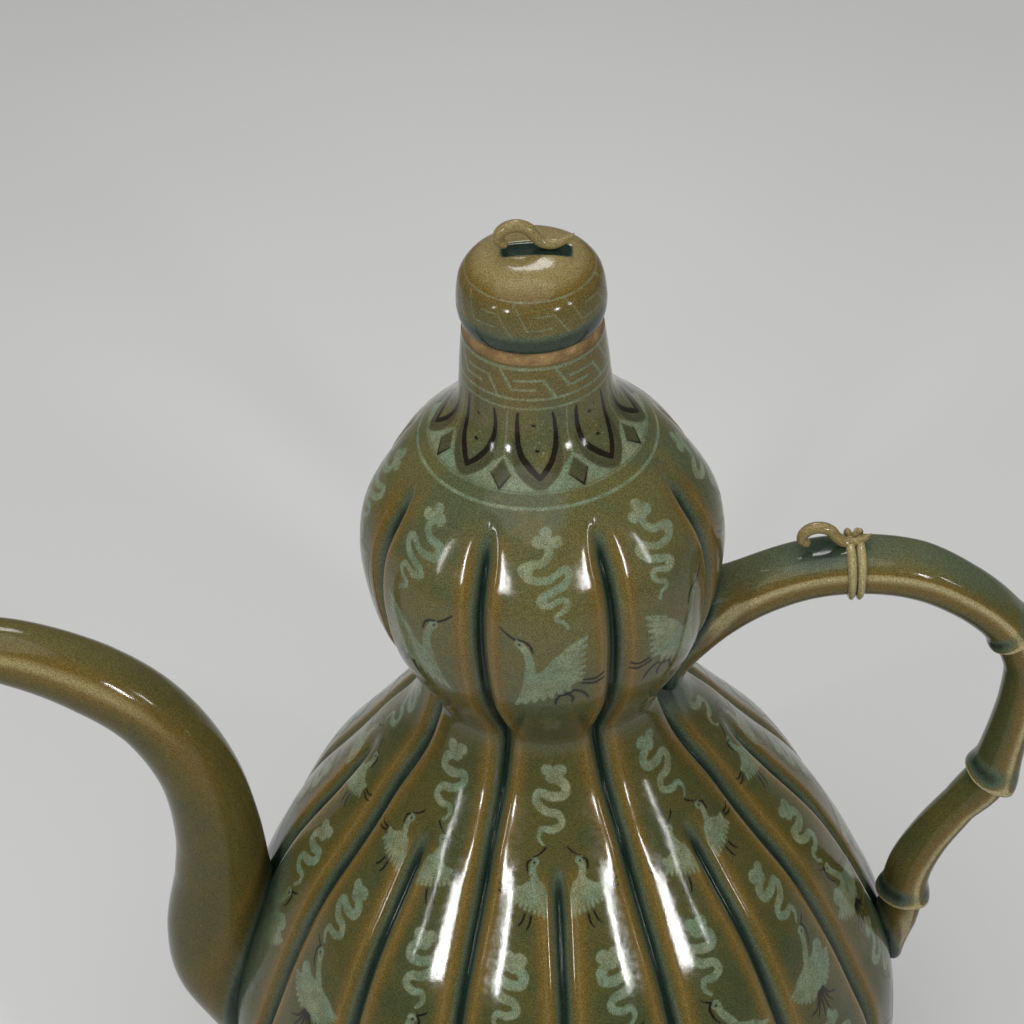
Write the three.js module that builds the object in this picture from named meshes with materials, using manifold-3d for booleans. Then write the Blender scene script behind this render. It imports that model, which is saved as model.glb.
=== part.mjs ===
// Gourd-shaped ewer with a lid, thrown and luted in separate pieces. Millimetres, +Z up.
// Pieces are drawn about the turning axis, with the foot standing at height zero. The spout reaches
// out along -X, the handle stands on the +X side, and both lie in the plane Y = 0. The assembly is
// then moved along X until the origin lies below the middle of its overall box.

import * as THREE from 'three';
import { mergeVertices } from 'three/addons/utils/BufferGeometryUtils.js';
import Module from 'manifold-3d';

const wasm = await Module();
wasm.setup();

// Clearance between pieces that are luted together or that rest on each other
const JOINT_GAP = 0.3;

// Foot
const FOOT_RADIUS = 47;
const FOOT_HEIGHT = 5;
const FOOT_RING_WIDTH = 7;
const FOOT_FLARE = 1.2;
const FOOT_BEVEL = 0.8;

// Lower bulb: its belly stands on the foot, and its shoulder rises from the equator to the waist
const LOWER_RADIUS = 97.4;
const LOWER_BELLY_HEIGHT = 61;
const LOWER_SHOULDER_HEIGHT = 134;
const LOWER_WALL = 6;
const LOWER_FLOOR = 7;
const LOWER_GROOVES = 16;

// Waist, where the two bulbs are luted together
const WAIST_RADIUS = 32.6;

// Upper bulb
const UPPER_RADIUS = 47.2;
const UPPER_BELLY_HEIGHT = 46;
const UPPER_SHOULDER_HEIGHT = 48;
const UPPER_WALL = 5;
const UPPER_GROOVES = 8;

// Neck and mouth
const NECK_RADIUS = 19.1;
const NECK_LENGTH = 21;
const MOUTH_RADIUS = 17.2;
const MOUTH_BORE_RADIUS = 12.8;
const MOUTH_ROUNDING = 0.8;

// Pressed grooves and the ridges raised beside them. The short ones and the upper ones end below
// the waist and below the neck.
const GROOVE_DEPTH = 2.8;
const GROOVE_HALF_WIDTH = 2.4;
const RIDGE_HEIGHT = 0.9;
const RIDGE_SPREAD = 2.5;
const GROOVE_FADE = 14;
const SHORT_GROOVE_DROP = 24;
const UPPER_GROOVE_DROP = 17;

// Spout: it starts inside the lower bulb's wall, below the equator
const SPOUT_ROOT_DEPTH = 31.4;
const SPOUT_ROOT_DROP = 10;
const SPOUT_REACH = 99;
const SPOUT_RISE = 160.5;
const SPOUT_RADIUS = 14.5;
const SPOUT_WALL = 3.6;
const SPOUT_LIP_WALL = 2.4;
const POUR_HOLE_RADIUS = 8;
const POUR_DRILL_LENGTH = 40;

// Handle: its top stands above the waist, its bend beyond the lower bulb and its foot on that
// bulb, above the equator
const HANDLE_TOP_RISE = 28.4;
const HANDLE_OVERHANG = 30.6;
const HANDLE_FOOT_RISE = 13;
const HANDLE_RADIUS = 7.7;
const HANDLE_BREADTH_RATIO = 1.16;
const HANDLE_FLATNESS = 2.7;

// Coils round the handle
const BAND_WIDTH = 1.9;
const BAND_THICKNESS = 1.4;
const BAND_PITCH = 2.3;

// Lid
const LID_RADIUS = 18.4;
const LID_HEIGHT = 19;
const LID_WALL = 3.6;
const FLANGE_LENGTH = 13;
const FLANGE_WALL = 3;
const FLANGE_CLEARANCE = 0.9;
const FLANGE_CHAMFER = 0.6;

// Cord loops on the handle and the lid
const LOOP_LENGTH = 20;
const LOOP_ROD_RADIUS = 1.6;
const LOOP_KNOT_ROD_RADIUS = 0.95;
const LOOP_KNOT_OFFSET = 3;

// How far a cutter runs past the face that it opens
const CUT_MARGIN = 1;

// Sides of what is turned and swept
const FOOT_SIDES = 40;
const NECK_SIDES = 40;
const LID_SIDES = 32;
const FLANGE_SIDES = 28;
const LOWER_CAVITY_SIDES = 30;
const UPPER_CAVITY_SIDES = 26;
const ENVELOPE_SIDES = 64;
const SPOUT_SIDES = 18;
const SPOUT_BORE_SIDES = 12;
const HANDLE_SIDES = 16;
const LOOP_SIDES = 8;
const POUR_HOLE_SIDES = 20;

// Rows of sections along what is swept or drawn from an outline
const LOWER_ROWS = 17;
const UPPER_ROWS = 14;
const LOWER_CAVITY_ROWS = 16;
const UPPER_CAVITY_ROWS = 13;
const ENVELOPE_ROWS = 40;
const SPOUT_ROWS = 26;
const SPOUT_BORE_ROWS = 18;
const BAND_ROWS = 4;
const CORE_ROWS = 24;
const LOOP_ROWS = 26;
const KNOT_ROWS = 10;

// Columns at a groove, in half widths from its middle, and across the panels between grooves
const GROOVE_COLUMNS = [0, 1, 2.2];
const LOWER_PANEL_COLUMNS = 1;
const UPPER_PANEL_COLUMNS = 2;

// Outlines of the bulbs between two turning points, as [share of the height, share of the radius]
const BASE_CURVE = [[0, 0], [0.05, 0.284], [0.148, 0.496], [0.311, 0.706], [0.541, 0.881], [0.77, 0.972]];
const SHOULDER_CURVE = [
  [0, 1], [0.164, 0.975], [0.299, 0.877], [0.425, 0.767], [0.552, 0.628],
  [0.672, 0.441], [0.791, 0.255], [0.896, 0.085], [1, 0],
];
const BELLY_CURVE = [[0, 0], [0.087, 0.12], [0.26, 0.44], [0.478, 0.78], [0.74, 0.95]];
const NECK_CURVE = [
  [0, 1], [0.25, 0.918], [0.5, 0.651], [0.667, 0.388], [0.79, 0.19], [0.9, 0.05], [1, 0],
];
const NECK_TAPER = [[0, 0], [0.4, 0.3], [0.8, 0.75]];
const LID_CURVE = [
  [0, 0.935], [0.027, 0.965], [0.12, 0.99], [0.24, 1], [0.4, 0.992], [0.57, 0.963],
  [0.68, 0.915], [0.79, 0.82], [0.89, 0.67], [0.955, 0.46], [0.99, 0.22], [1, 0],
];

// Heights of the sections above the foot's resting plane
const lowerEquator = FOOT_HEIGHT + LOWER_BELLY_HEIGHT;
const waistHeight = lowerEquator + LOWER_SHOULDER_HEIGHT;
const upperEquator = waistHeight + UPPER_BELLY_HEIGHT;
const neckHeight = upperEquator + UPPER_SHOULDER_HEIGHT;
const mouthHeight = neckHeight + NECK_LENGTH;
const throatRadius = WAIST_RADIUS - LOWER_WALL;

// Solids

function toSolid(geometry) {
  const plain = geometry.clone();
  plain.deleteAttribute('normal');
  plain.deleteAttribute('uv');
  const merged = mergeVertices(plain, 1e-4);
  const vertProperties = new Float32Array(merged.attributes.position.array);
  const triVerts = new Uint32Array(merged.index.array);
  return new wasm.Manifold(new wasm.Mesh({ numProp: 3, vertProperties, triVerts }));
}

function toGeometry(solid) {
  const mesh = solid.getMesh();
  const geometry = new THREE.BufferGeometry();
  const positions = new Float32Array(mesh.numVert * 3);
  for (let i = 0; i < mesh.numVert; i += 1) {
    for (let axis = 0; axis < 3; axis += 1) {
      positions[3 * i + axis] = mesh.vertProperties[mesh.numProp * i + axis];
    }
  }
  geometry.setAttribute('position', new THREE.BufferAttribute(positions, 3));
  geometry.setIndex(new THREE.BufferAttribute(new Uint32Array(mesh.triVerts), 1));
  geometry.computeVertexNormals();
  return geometry;
}

// A closed skin over rings of equally many points, the first and last ring filled by flat fans
function skinRings(rings) {
  const count = rings[0].length;
  const positions = rings.flat().flatMap((point) => [point.x, point.y, point.z]);
  const centreOf = (ring) => ring.reduce((sum, p) => sum.add(p), new THREE.Vector3()).divideScalar(count);
  const first = rings.length * count;
  for (const ring of [rings[0], rings[rings.length - 1]]) {
    positions.push(...centreOf(ring).toArray());
  }
  const index = [];
  for (let row = 0; row < rings.length - 1; row += 1) {
    for (let i = 0; i < count; i += 1) {
      const a = row * count + i;
      const b = row * count + ((i + 1) % count);
      index.push(a, b, b + count, a, b + count, a + count);
    }
  }
  const last = (rings.length - 1) * count;
  for (let i = 0; i < count; i += 1) {
    const next = (i + 1) % count;
    index.push(first, next, i, first + 1, last + i, last + next);
  }
  const geometry = new THREE.BufferGeometry();
  geometry.setAttribute('position', new THREE.Float32BufferAttribute(positions, 3));
  geometry.setIndex(index);
  return geometry;
}

// A solid of revolution about Z from [radius, height] pairs that start and end on the axis or close
function turned(profile, segments) {
  const lathe = new THREE.LatheGeometry(profile.map(([r, z]) => new THREE.Vector2(r, z)), segments);
  lathe.rotateX(Math.PI / 2);
  return toSolid(lathe);
}

// A tube along a curve in the plane Y = 0, with the section {side, rise} wanted at each station.
// Past the curve's ends the tube runs straight on.
function sweep(curve, stations, section) {
  const length = curve.getLength();
  const rings = stations.map((t) => {
    const onCurve = THREE.MathUtils.clamp(t, 0, 1);
    const along = curve.getTangent(onCurve);
    const centre = curve.getPoint(onCurve).addScaledVector(along, (t - onCurve) * length);
    const up = new THREE.Vector3(-along.z, 0, along.x).normalize();
    return section(t).map(({ side, rise }) => new THREE.Vector3(
      centre.x + up.x * rise,
      side,
      centre.z + up.z * rise,
    ));
  });
  return toSolid(skinRings(rings));
}

function evenSteps(from, to, count) {
  return Array.from({ length: count + 1 }, (_, i) => from + ((to - from) * i) / count);
}

function planarCurve(points) {
  return new THREE.CatmullRomCurve3(points.map(([x, z]) => new THREE.Vector3(x, 0, z)), false, 'centripetal');
}

// The value at a place from 0 to 1 along a list of evenly spaced values
function valueAt(values, t) {
  const place = THREE.MathUtils.clamp(t, 0, 1) * (values.length - 1);
  const low = Math.min(Math.floor(place), values.length - 2);
  return THREE.MathUtils.lerp(values[low], values[low + 1], place - low);
}

function roundSection(radius, sides) {
  return evenSteps(0, 2 * Math.PI, sides).slice(0, sides).map((angle) => ({
    side: radius * Math.cos(angle),
    rise: radius * Math.sin(angle),
  }));
}

// Outlines of the body

function outlineSpan(curve, low, high) {
  return curve.map(([heightShare, radiusShare]) => new THREE.Vector2(
    THREE.MathUtils.lerp(low.base, high.base, radiusShare),
    THREE.MathUtils.lerp(low.height, high.height, heightShare),
  ));
}

const lowerOutline = new THREE.SplineCurve([
  ...outlineSpan(
    BASE_CURVE,
    { base: FOOT_RADIUS, height: FOOT_HEIGHT },
    { base: LOWER_RADIUS, height: lowerEquator },
  ),
  ...outlineSpan(
    SHOULDER_CURVE,
    { base: WAIST_RADIUS, height: lowerEquator },
    { base: LOWER_RADIUS, height: waistHeight },
  ),
]);

const upperOutline = new THREE.SplineCurve([
  ...outlineSpan(
    BELLY_CURVE,
    { base: WAIST_RADIUS, height: waistHeight },
    { base: UPPER_RADIUS, height: upperEquator },
  ),
  ...outlineSpan(
    NECK_CURVE,
    { base: NECK_RADIUS, height: upperEquator },
    { base: UPPER_RADIUS, height: neckHeight },
  ),
]);

// The inside of a wall: the outline moved in along its normals, as [radius, height] pairs
function insetOutline(outline, inset, steps) {
  return evenSteps(0, 1, steps).map((t) => {
    const point = outline.getPoint(t);
    const along = outline.getTangent(t);
    return [point.x - along.y * inset, point.y + along.x * inset];
  });
}

// How far a groove and its ridges stand in or out, by the arc length from the groove's middle
function relief(distance) {
  const spread = distance / GROOVE_HALF_WIDTH;
  const groove = -(GROOVE_DEPTH + RIDGE_HEIGHT) * Math.exp(-spread * spread * 2);
  const ridge = RIDGE_HEIGHT * Math.exp(-(((Math.abs(spread) - 1) / RIDGE_SPREAD) ** 2));
  return groove + ridge - RIDGE_HEIGHT;
}

function fadeBelow(top, height) {
  return THREE.MathUtils.smoothstep(top - height, 0, GROOVE_FADE);
}

// Every second groove of the lower bulb is a short one
function lowerGrooveStrength(height, index) {
  const atFoot = THREE.MathUtils.smoothstep(height, FOOT_HEIGHT, FOOT_HEIGHT + GROOVE_FADE);
  return index % 2 === 0 ? atFoot : atFoot * fadeBelow(waistHeight - SHORT_GROOVE_DROP, height);
}

function upperGrooveStrength(height) {
  return fadeBelow(neckHeight - UPPER_GROOVE_DROP, height);
}

// A bulb with pressed grooves: each sector runs from one groove to the next, with columns close
// together at the groove and its ridges, and panelColumns across the panel between them. The first
// groove lies half an upper panel away from +X, so that the long grooves run on through the waist.
function lobedSolid(outline, grooves, grooveStrength, rows, panelColumns) {
  const sector = (2 * Math.PI) / grooves;
  const firstGroove = Math.PI / UPPER_GROOVES;
  const rings = evenSteps(0, 1, rows).map((t) => {
    const { x: radius, y: height } = outline.getPoint(t);
    const near = GROOVE_COLUMNS.map((share) => (share * GROOVE_HALF_WIDTH) / radius);
    const panelEdge = near[near.length - 1];
    const columns = [
      ...near,
      ...evenSteps(panelEdge, sector - panelEdge, panelColumns + 1).slice(1, -1),
      ...near.slice(1).reverse().map((angle) => sector - angle),
    ];
    return Array.from({ length: grooves }, (_, index) => columns.map((offset) => {
      const nearest = offset < sector / 2 ? index : index + 1;
      const arc = Math.min(offset, sector - offset) * radius;
      const r = radius + grooveStrength(height, nearest) * relief(arc);
      const angle = firstGroove + index * sector + offset;
      return new THREE.Vector3(r * Math.cos(angle), r * Math.sin(angle), height);
    })).flat();
  });
  return toSolid(skinRings(rings));
}

// The plain round envelope of a bulb, grown by the joint gap, which cuts what is luted onto it
function bulbEnvelope(outline) {
  const points = evenSteps(0, 1, ENVELOPE_ROWS).map((t) => {
    const { x, y } = outline.getPoint(t);
    return [x + JOINT_GAP, y];
  });
  return turned([[0, points[0][1]], ...points, [0, points[points.length - 1][1]]], ENVELOPE_SIDES);
}

// Foot ring

function footRing() {
  const inner = FOOT_RADIUS - FOOT_RING_WIDTH;
  const outer = FOOT_RADIUS + FOOT_FLARE;
  return turned([
    [inner, 0], [outer - FOOT_BEVEL, 0], [outer, FOOT_BEVEL],
    [FOOT_RADIUS, FOOT_HEIGHT], [inner, FOOT_HEIGHT], [inner, 0],
  ], FOOT_SIDES);
}

// Spout: an S from inside the lower bulb's wall to the lip, as [share of the reach, share of the
// rise], with the radius there as a share of the root's. It is cut back to the bulb.

const SPOUT_CURVE = [
  [0, 0], [0.222, 0.1], [0.328, 0.193], [0.341, 0.287], [0.305, 0.424], [0.292, 0.536],
  [0.327, 0.685], [0.429, 0.816], [0.571, 0.9], [0.768, 0.966], [1, 1],
];
const POUR_HOLE_SHARE = 0.1;
const SPOUT_TAPER = [1, 0.986, 0.979, 0.945, 0.869, 0.828, 0.752, 0.71, 0.69, 0.621, 0.524];
const spoutRoot = [SPOUT_ROOT_DEPTH - LOWER_RADIUS, lowerEquator - SPOUT_ROOT_DROP];
const spoutCurve = planarCurve(SPOUT_CURVE.map(([out, up]) => [
  spoutRoot[0] - out * SPOUT_REACH,
  spoutRoot[1] + up * SPOUT_RISE,
]));

function spoutBody(lowerEnvelope) {
  const radiusAt = (t) => SPOUT_RADIUS * valueAt(SPOUT_TAPER, t);
  const wallAt = (t) => THREE.MathUtils.lerp(SPOUT_WALL, SPOUT_LIP_WALL, t);
  const outer = sweep(spoutCurve, evenSteps(0, 1, SPOUT_ROWS), (t) => roundSection(radiusAt(t), SPOUT_SIDES));
  const past = (2 * CUT_MARGIN) / SPOUT_REACH;
  const bore = sweep(spoutCurve, [-past, ...evenSteps(0, 1, SPOUT_BORE_ROWS), 1 + past], (t) => (
    roundSection(radiusAt(t) - wallAt(t), SPOUT_BORE_SIDES)
  ));
  return outer.subtract(bore).subtract(lowerEnvelope);
}

// The pour hole runs straight through the lower bulb's wall, in line with the root of the spout
function pourHole() {
  const centre = spoutCurve.getPoint(POUR_HOLE_SHARE);
  const along = spoutCurve.getTangent(POUR_HOLE_SHARE);
  const drill = new THREE.CylinderGeometry(
    POUR_HOLE_RADIUS,
    POUR_HOLE_RADIUS,
    POUR_DRILL_LENGTH,
    POUR_HOLE_SIDES,
  );
  drill.applyQuaternion(new THREE.Quaternion().setFromUnitVectors(new THREE.Vector3(0, 1, 0), along));
  drill.translate(centre.x, centre.y, centre.z);
  return toSolid(drill);
}

// Handle: a rod carved as bamboo, from inside the upper bulb's wall to the side of the lower bulb,
// as [share of the way out from the waist, share of the way up from its foot], with the half
// thickness there as a share of the rod's

const HANDLE_CURVE = [
  [-0.045, 0.806], [0.13, 0.914], [0.256, 0.965], [0.392, 0.995], [0.539, 1], [0.686, 0.98],
  [0.811, 0.932], [0.906, 0.877], [0.96, 0.827], [1, 0.75], [0.994, 0.663], [0.966, 0.562],
  [0.931, 0.472], [0.849, 0.398], [0.763, 0.311], [0.713, 0.234], [0.702, 0.167], [0.69, 0.094],
  [0.671, 0],
];
const HANDLE_TAPER = [
  0.98, 0.95, 0.93, 0.92, 0.92, 0.92, 0.86, 0.83, 0.82, 0.71, 0.7, 0.75, 0.86, 0.66, 0.71, 0.78, 0.81,
  0.62, 0.21,
];
const HANDLE_SPAN = HANDLE_CURVE.length - 1;
const handleFoot = lowerEquator + HANDLE_FOOT_RISE;
const handleCurve = planarCurve(HANDLE_CURVE.map(([out, up]) => [
  THREE.MathUtils.lerp(WAIST_RADIUS, LOWER_RADIUS + HANDLE_OVERHANG, out),
  THREE.MathUtils.lerp(handleFoot, waistHeight + HANDLE_TOP_RISE, up),
]));

// Nodes of the bamboo, as places in the list above. Each stem swells towards its node, ends there
// in a lip, and the next one starts narrower.
const HANDLE_NODES = [8, 12, 16];
const NODE_FLARE = 1.15;
const NODE_STEP = 0.82;
const NODE_REACH = 0.35;
const NODE_LIP = [-0.2, 0.012];

function nodeShape(t) {
  const place = t * HANDLE_SPAN;
  let shape = 1;
  for (const node of HANDLE_NODES) {
    const ahead = node - place;
    if (ahead >= 0) {
      shape *= 1 + (NODE_FLARE - 1) * Math.exp(-((ahead / NODE_REACH) ** 2));
    } else {
      shape *= 1 - (1 - NODE_STEP) * Math.exp(ahead / NODE_REACH);
    }
  }
  return shape;
}

function handleHalf(t) {
  return HANDLE_RADIUS * valueAt(HANDLE_TAPER, t) * nodeShape(t);
}

// The section is broad and rounded, and flatter on its outer side
function handleSection(t, grow) {
  const half = handleHalf(t);
  return evenSteps(0, 2 * Math.PI, HANDLE_SIDES).slice(0, HANDLE_SIDES).map((angle) => {
    const power = Math.sin(angle) > 0 ? 2 / HANDLE_FLATNESS : 1;
    const bulge = (value) => Math.sign(value) * Math.abs(value) ** power;
    return {
      side: (half * HANDLE_BREADTH_RATIO + grow) * bulge(Math.cos(angle)),
      rise: (half + grow) * bulge(Math.sin(angle)),
    };
  });
}

function handleRod(envelopes) {
  const stations = [
    ...evenSteps(0, HANDLE_SPAN, 2 * HANDLE_SPAN),
    ...HANDLE_NODES.flatMap((node) => NODE_LIP.map((offset) => node + offset)),
  ].sort((a, b) => a - b).map((place) => place / HANDLE_SPAN);
  const rod = sweep(handleCurve, stations, (t) => handleSection(t, 0));
  return envelopes.reduce((solid, envelope) => solid.subtract(envelope), rod);
}

// The coils lie round the handle just inside its top
const BAND_PLACE = 3.79 / HANDLE_SPAN;
const BAND_ROUNDNESS = 0.75;
const placePerMillimetre = 1 / handleCurve.getLength();

// A thin half-round coil round the handle, cut clear of the cord loop that lies on it
function handleBand(side, cordCutter) {
  const place = BAND_PLACE + (side * BAND_PITCH * placePerMillimetre) / 2;
  const half = (BAND_WIDTH * placePerMillimetre) / 2;
  const crown = (t) => Math.sqrt(1 - BAND_ROUNDNESS * ((t - place) / half) ** 2);
  const ringAt = (reach, grow) => sweep(
    handleCurve,
    evenSteps(place - reach * half, place + reach * half, BAND_ROWS),
    (t) => handleSection(t, grow(t)),
  );
  const coil = ringAt(1, (t) => JOINT_GAP + BAND_THICKNESS * crown(t));
  const core = ringAt(2, () => JOINT_GAP);
  return coil.subtract(core).subtract(cordCutter);
}

// Cord loop: a tapered coil with a curled foot, an arch, a dip that touches down and a raised tip.
// It is drawn on a flat seat at height zero with its length along X, in shares of that length.
const LOOP_CURVE = [
  [-0.25, 0.05], [-0.31, 0.072], [-0.363, 0.13], [-0.345, 0.22], [-0.265, 0.295], [-0.13, 0.32],
  [0, 0.265], [0.08, 0.156], [0.165, 0.07], [0.285, 0.04], [0.415, 0.08], [0.55, 0.18],
];
const LOOP_TAPER = [0.55, 0.75, 0.88, 0.95, 1, 1, 0.98, 0.96, 0.93, 0.85, 0.65, 0.25];
const LOOP_REST_SHARE = 0.325;
const KNOT_CURVE = [[-0.085, 0.14], [-0.07, 0.06], [0, 0.025], [0.07, 0.06], [0.085, 0.14]];

function loopCurve(shares) {
  return planarCurve(shares.map(([along, up]) => [along * LOOP_LENGTH, up * LOOP_LENGTH]));
}

function cordLoop(grow) {
  return sweep(loopCurve(LOOP_CURVE), evenSteps(0, 1, LOOP_ROWS), (t) => (
    roundSection(LOOP_ROD_RADIUS * valueAt(LOOP_TAPER, t) + grow, LOOP_SIDES)
  ));
}

function loopKnot(grow) {
  const knot = sweep(loopCurve(KNOT_CURVE), evenSteps(0, 1, KNOT_ROWS), () => (
    roundSection(LOOP_KNOT_ROD_RADIUS + grow, LOOP_SIDES)
  ));
  return knot.translate([LOOP_REST_SHARE * LOOP_LENGTH, LOOP_KNOT_OFFSET, 0]);
}

// Lid, drawn with its seat at height zero

const HOLLOW_CURVE = [[0, 0], [0.6, 0.04], [1, 0.16]];
const lidOutline = LID_CURVE.map(([up, out]) => [LID_RADIUS * out, LID_HEIGHT * up]);
const flangeRadius = MOUTH_BORE_RADIUS - FLANGE_CLEARANCE;
const flangeBoreRadius = flangeRadius - FLANGE_WALL;

function lidDome() {
  const hollowTop = LID_HEIGHT - LID_WALL;
  return turned([
    [flangeBoreRadius, 0], ...lidOutline,
    ...HOLLOW_CURVE.map(([out, drop]) => [flangeBoreRadius * out, hollowTop - LID_HEIGHT * drop]),
    [flangeBoreRadius, 0],
  ], LID_SIDES);
}

function lidFlange() {
  return turned([
    [flangeBoreRadius, 0], [flangeBoreRadius, -FLANGE_LENGTH],
    [flangeRadius - FLANGE_CHAMFER, -FLANGE_LENGTH], [flangeRadius, FLANGE_CHAMFER - FLANGE_LENGTH],
    [flangeRadius, 0], [flangeBoreRadius, 0],
  ], FLANGE_SIDES);
}

function lidLoop() {
  const dome = turned([[0, 0], ...lidOutline.map(([r, z]) => [r, z + JOINT_GAP])], LID_SIDES);
  return cordLoop(0).translate([0, 0, LID_HEIGHT]).subtract(dome);
}

// Body pieces

// The floor stays flat for this share of the cavity's radius, and curves up from there
const FLOOR_SHARE = 0.9;

function lowerBulb() {
  const floor = FOOT_HEIGHT + LOWER_FLOOR;
  const wallLine = insetOutline(lowerOutline, LOWER_WALL, LOWER_CAVITY_ROWS)
    .filter(([, height]) => height > floor && height < waistHeight);
  const cavity = turned([
    [0, floor], [wallLine[0][0] * FLOOR_SHARE, floor], ...wallLine,
    [throatRadius, waistHeight], [throatRadius, waistHeight + CUT_MARGIN], [0, waistHeight + CUT_MARGIN],
  ], LOWER_CAVITY_SIDES);
  return lobedSolid(lowerOutline, LOWER_GROOVES, lowerGrooveStrength, LOWER_ROWS, LOWER_PANEL_COLUMNS)
    .subtract(cavity).subtract(pourHole());
}

function upperBulb() {
  const wallLine = insetOutline(upperOutline, UPPER_WALL, UPPER_CAVITY_ROWS).filter(([radius, height]) => (
    height > waistHeight + CUT_MARGIN && height < neckHeight - CUT_MARGIN && radius > MOUTH_BORE_RADIUS
  ));
  const cavity = turned([
    [0, waistHeight - CUT_MARGIN], [throatRadius, waistHeight - CUT_MARGIN],
    [throatRadius, waistHeight + CUT_MARGIN], ...wallLine,
    [MOUTH_BORE_RADIUS, neckHeight], [MOUTH_BORE_RADIUS, neckHeight + CUT_MARGIN],
    [0, neckHeight + CUT_MARGIN],
  ], UPPER_CAVITY_SIDES);
  return lobedSolid(upperOutline, UPPER_GROOVES, upperGrooveStrength, UPPER_ROWS, UPPER_PANEL_COLUMNS)
    .subtract(cavity);
}

function neckTube() {
  return turned([
    [MOUTH_BORE_RADIUS, neckHeight],
    ...NECK_TAPER.map(([up, inward]) => [
      THREE.MathUtils.lerp(NECK_RADIUS, MOUTH_RADIUS, inward),
      THREE.MathUtils.lerp(neckHeight, mouthHeight, up),
    ]),
    [MOUTH_RADIUS, mouthHeight - MOUTH_ROUNDING], [MOUTH_RADIUS - MOUTH_ROUNDING, mouthHeight],
    [MOUTH_BORE_RADIUS, mouthHeight], [MOUTH_BORE_RADIUS, neckHeight],
  ], NECK_SIDES);
}

// Assembly

const glaze = new THREE.MeshStandardMaterial({ color: 0x5d5a32, roughness: 0.18, metalness: 0 });
const deepGlaze = new THREE.MeshStandardMaterial({ color: 0x4c5233, roughness: 0.18, metalness: 0 });
const biscuit = new THREE.MeshStandardMaterial({ color: 0x9a7448, roughness: 0.85, metalness: 0 });

function piece(name, solid, material) {
  const mesh = new THREE.Mesh(toGeometry(solid), material);
  mesh.name = name;
  return mesh;
}

const lowerEnvelope = bulbEnvelope(lowerOutline);
const upperEnvelope = bulbEnvelope(upperOutline);

// The cord loop rests on the handle where the coils lie, past its dip, and the top of the handle cuts
// the loop's underside
const CORE_SPAN = [0.05, 0.45];
const bandCentre = handleCurve.getPoint(BAND_PLACE);
const loopSeat = [bandCentre.x - LOOP_REST_SHARE * LOOP_LENGTH, 0, bandCentre.z + handleHalf(BAND_PLACE)];
const onHandle = (solid) => solid.translate(loopSeat);
const handleCore = sweep(handleCurve, evenSteps(...CORE_SPAN, CORE_ROWS), (t) => handleSection(t, JOINT_GAP));
const loopCutter = onHandle(cordLoop(JOINT_GAP));
const cordCutter = loopCutter.add(onHandle(loopKnot(JOINT_GAP)));

const body = new THREE.Group();
body.add(
  piece('foot_ring', footRing(), biscuit),
  piece('lower_bulb', lowerBulb(), glaze),
  piece('upper_bulb', upperBulb(), glaze),
  piece('neck', neckTube(), glaze),
  piece('spout', spoutBody(lowerEnvelope), deepGlaze),
  piece('handle', handleRod([upperEnvelope, lowerEnvelope]), deepGlaze),
  piece('handle_band_inner', handleBand(-1, cordCutter), glaze),
  piece('handle_band_outer', handleBand(1, cordCutter), glaze),
  piece('handle_loop', onHandle(cordLoop(0)).subtract(handleCore), glaze),
  piece('handle_loop_knot', onHandle(loopKnot(0)).subtract(handleCore).subtract(loopCutter), glaze),
);

const lid = new THREE.Group();
lid.position.z = mouthHeight + JOINT_GAP;
lid.add(
  piece('lid_dome', lidDome(), glaze),
  piece('lid_flange', lidFlange(), biscuit),
  piece('lid_loop', lidLoop(), glaze),
);

const ewer = new THREE.Group();
ewer.add(body, lid);
ewer.position.x = -new THREE.Box3().setFromObject(ewer, true).getCenter(new THREE.Vector3()).x;

export default ewer;
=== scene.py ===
import math

import bpy
import numpy as np
from mathutils import Matrix, Vector


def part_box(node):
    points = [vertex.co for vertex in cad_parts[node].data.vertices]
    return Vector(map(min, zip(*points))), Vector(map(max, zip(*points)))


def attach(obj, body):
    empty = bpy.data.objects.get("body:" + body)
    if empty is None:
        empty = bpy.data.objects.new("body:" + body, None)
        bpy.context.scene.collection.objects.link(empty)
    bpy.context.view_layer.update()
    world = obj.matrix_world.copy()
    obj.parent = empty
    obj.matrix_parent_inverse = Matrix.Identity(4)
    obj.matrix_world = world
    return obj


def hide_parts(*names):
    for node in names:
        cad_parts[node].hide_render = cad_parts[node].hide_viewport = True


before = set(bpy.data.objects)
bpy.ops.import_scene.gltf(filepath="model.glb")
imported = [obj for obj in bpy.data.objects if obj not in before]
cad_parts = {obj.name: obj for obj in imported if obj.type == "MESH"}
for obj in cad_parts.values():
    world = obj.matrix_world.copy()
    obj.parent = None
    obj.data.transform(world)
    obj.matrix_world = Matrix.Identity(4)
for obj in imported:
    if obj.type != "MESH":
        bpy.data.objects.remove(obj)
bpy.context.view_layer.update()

# Looks of the gourd-shaped celadon ewer. Lengths are millimetres about the turning axis until a mesh
# is made, and metres in the row frame from there. The front is -Y, the spout -X and the handle +X.

MM = 0.001
foot_low, foot_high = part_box("foot_ring")
AXIS = np.array([(foot_low.x + foot_high.x) / 2, (foot_low.y + foot_high.y) / 2, foot_low.z])

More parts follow.
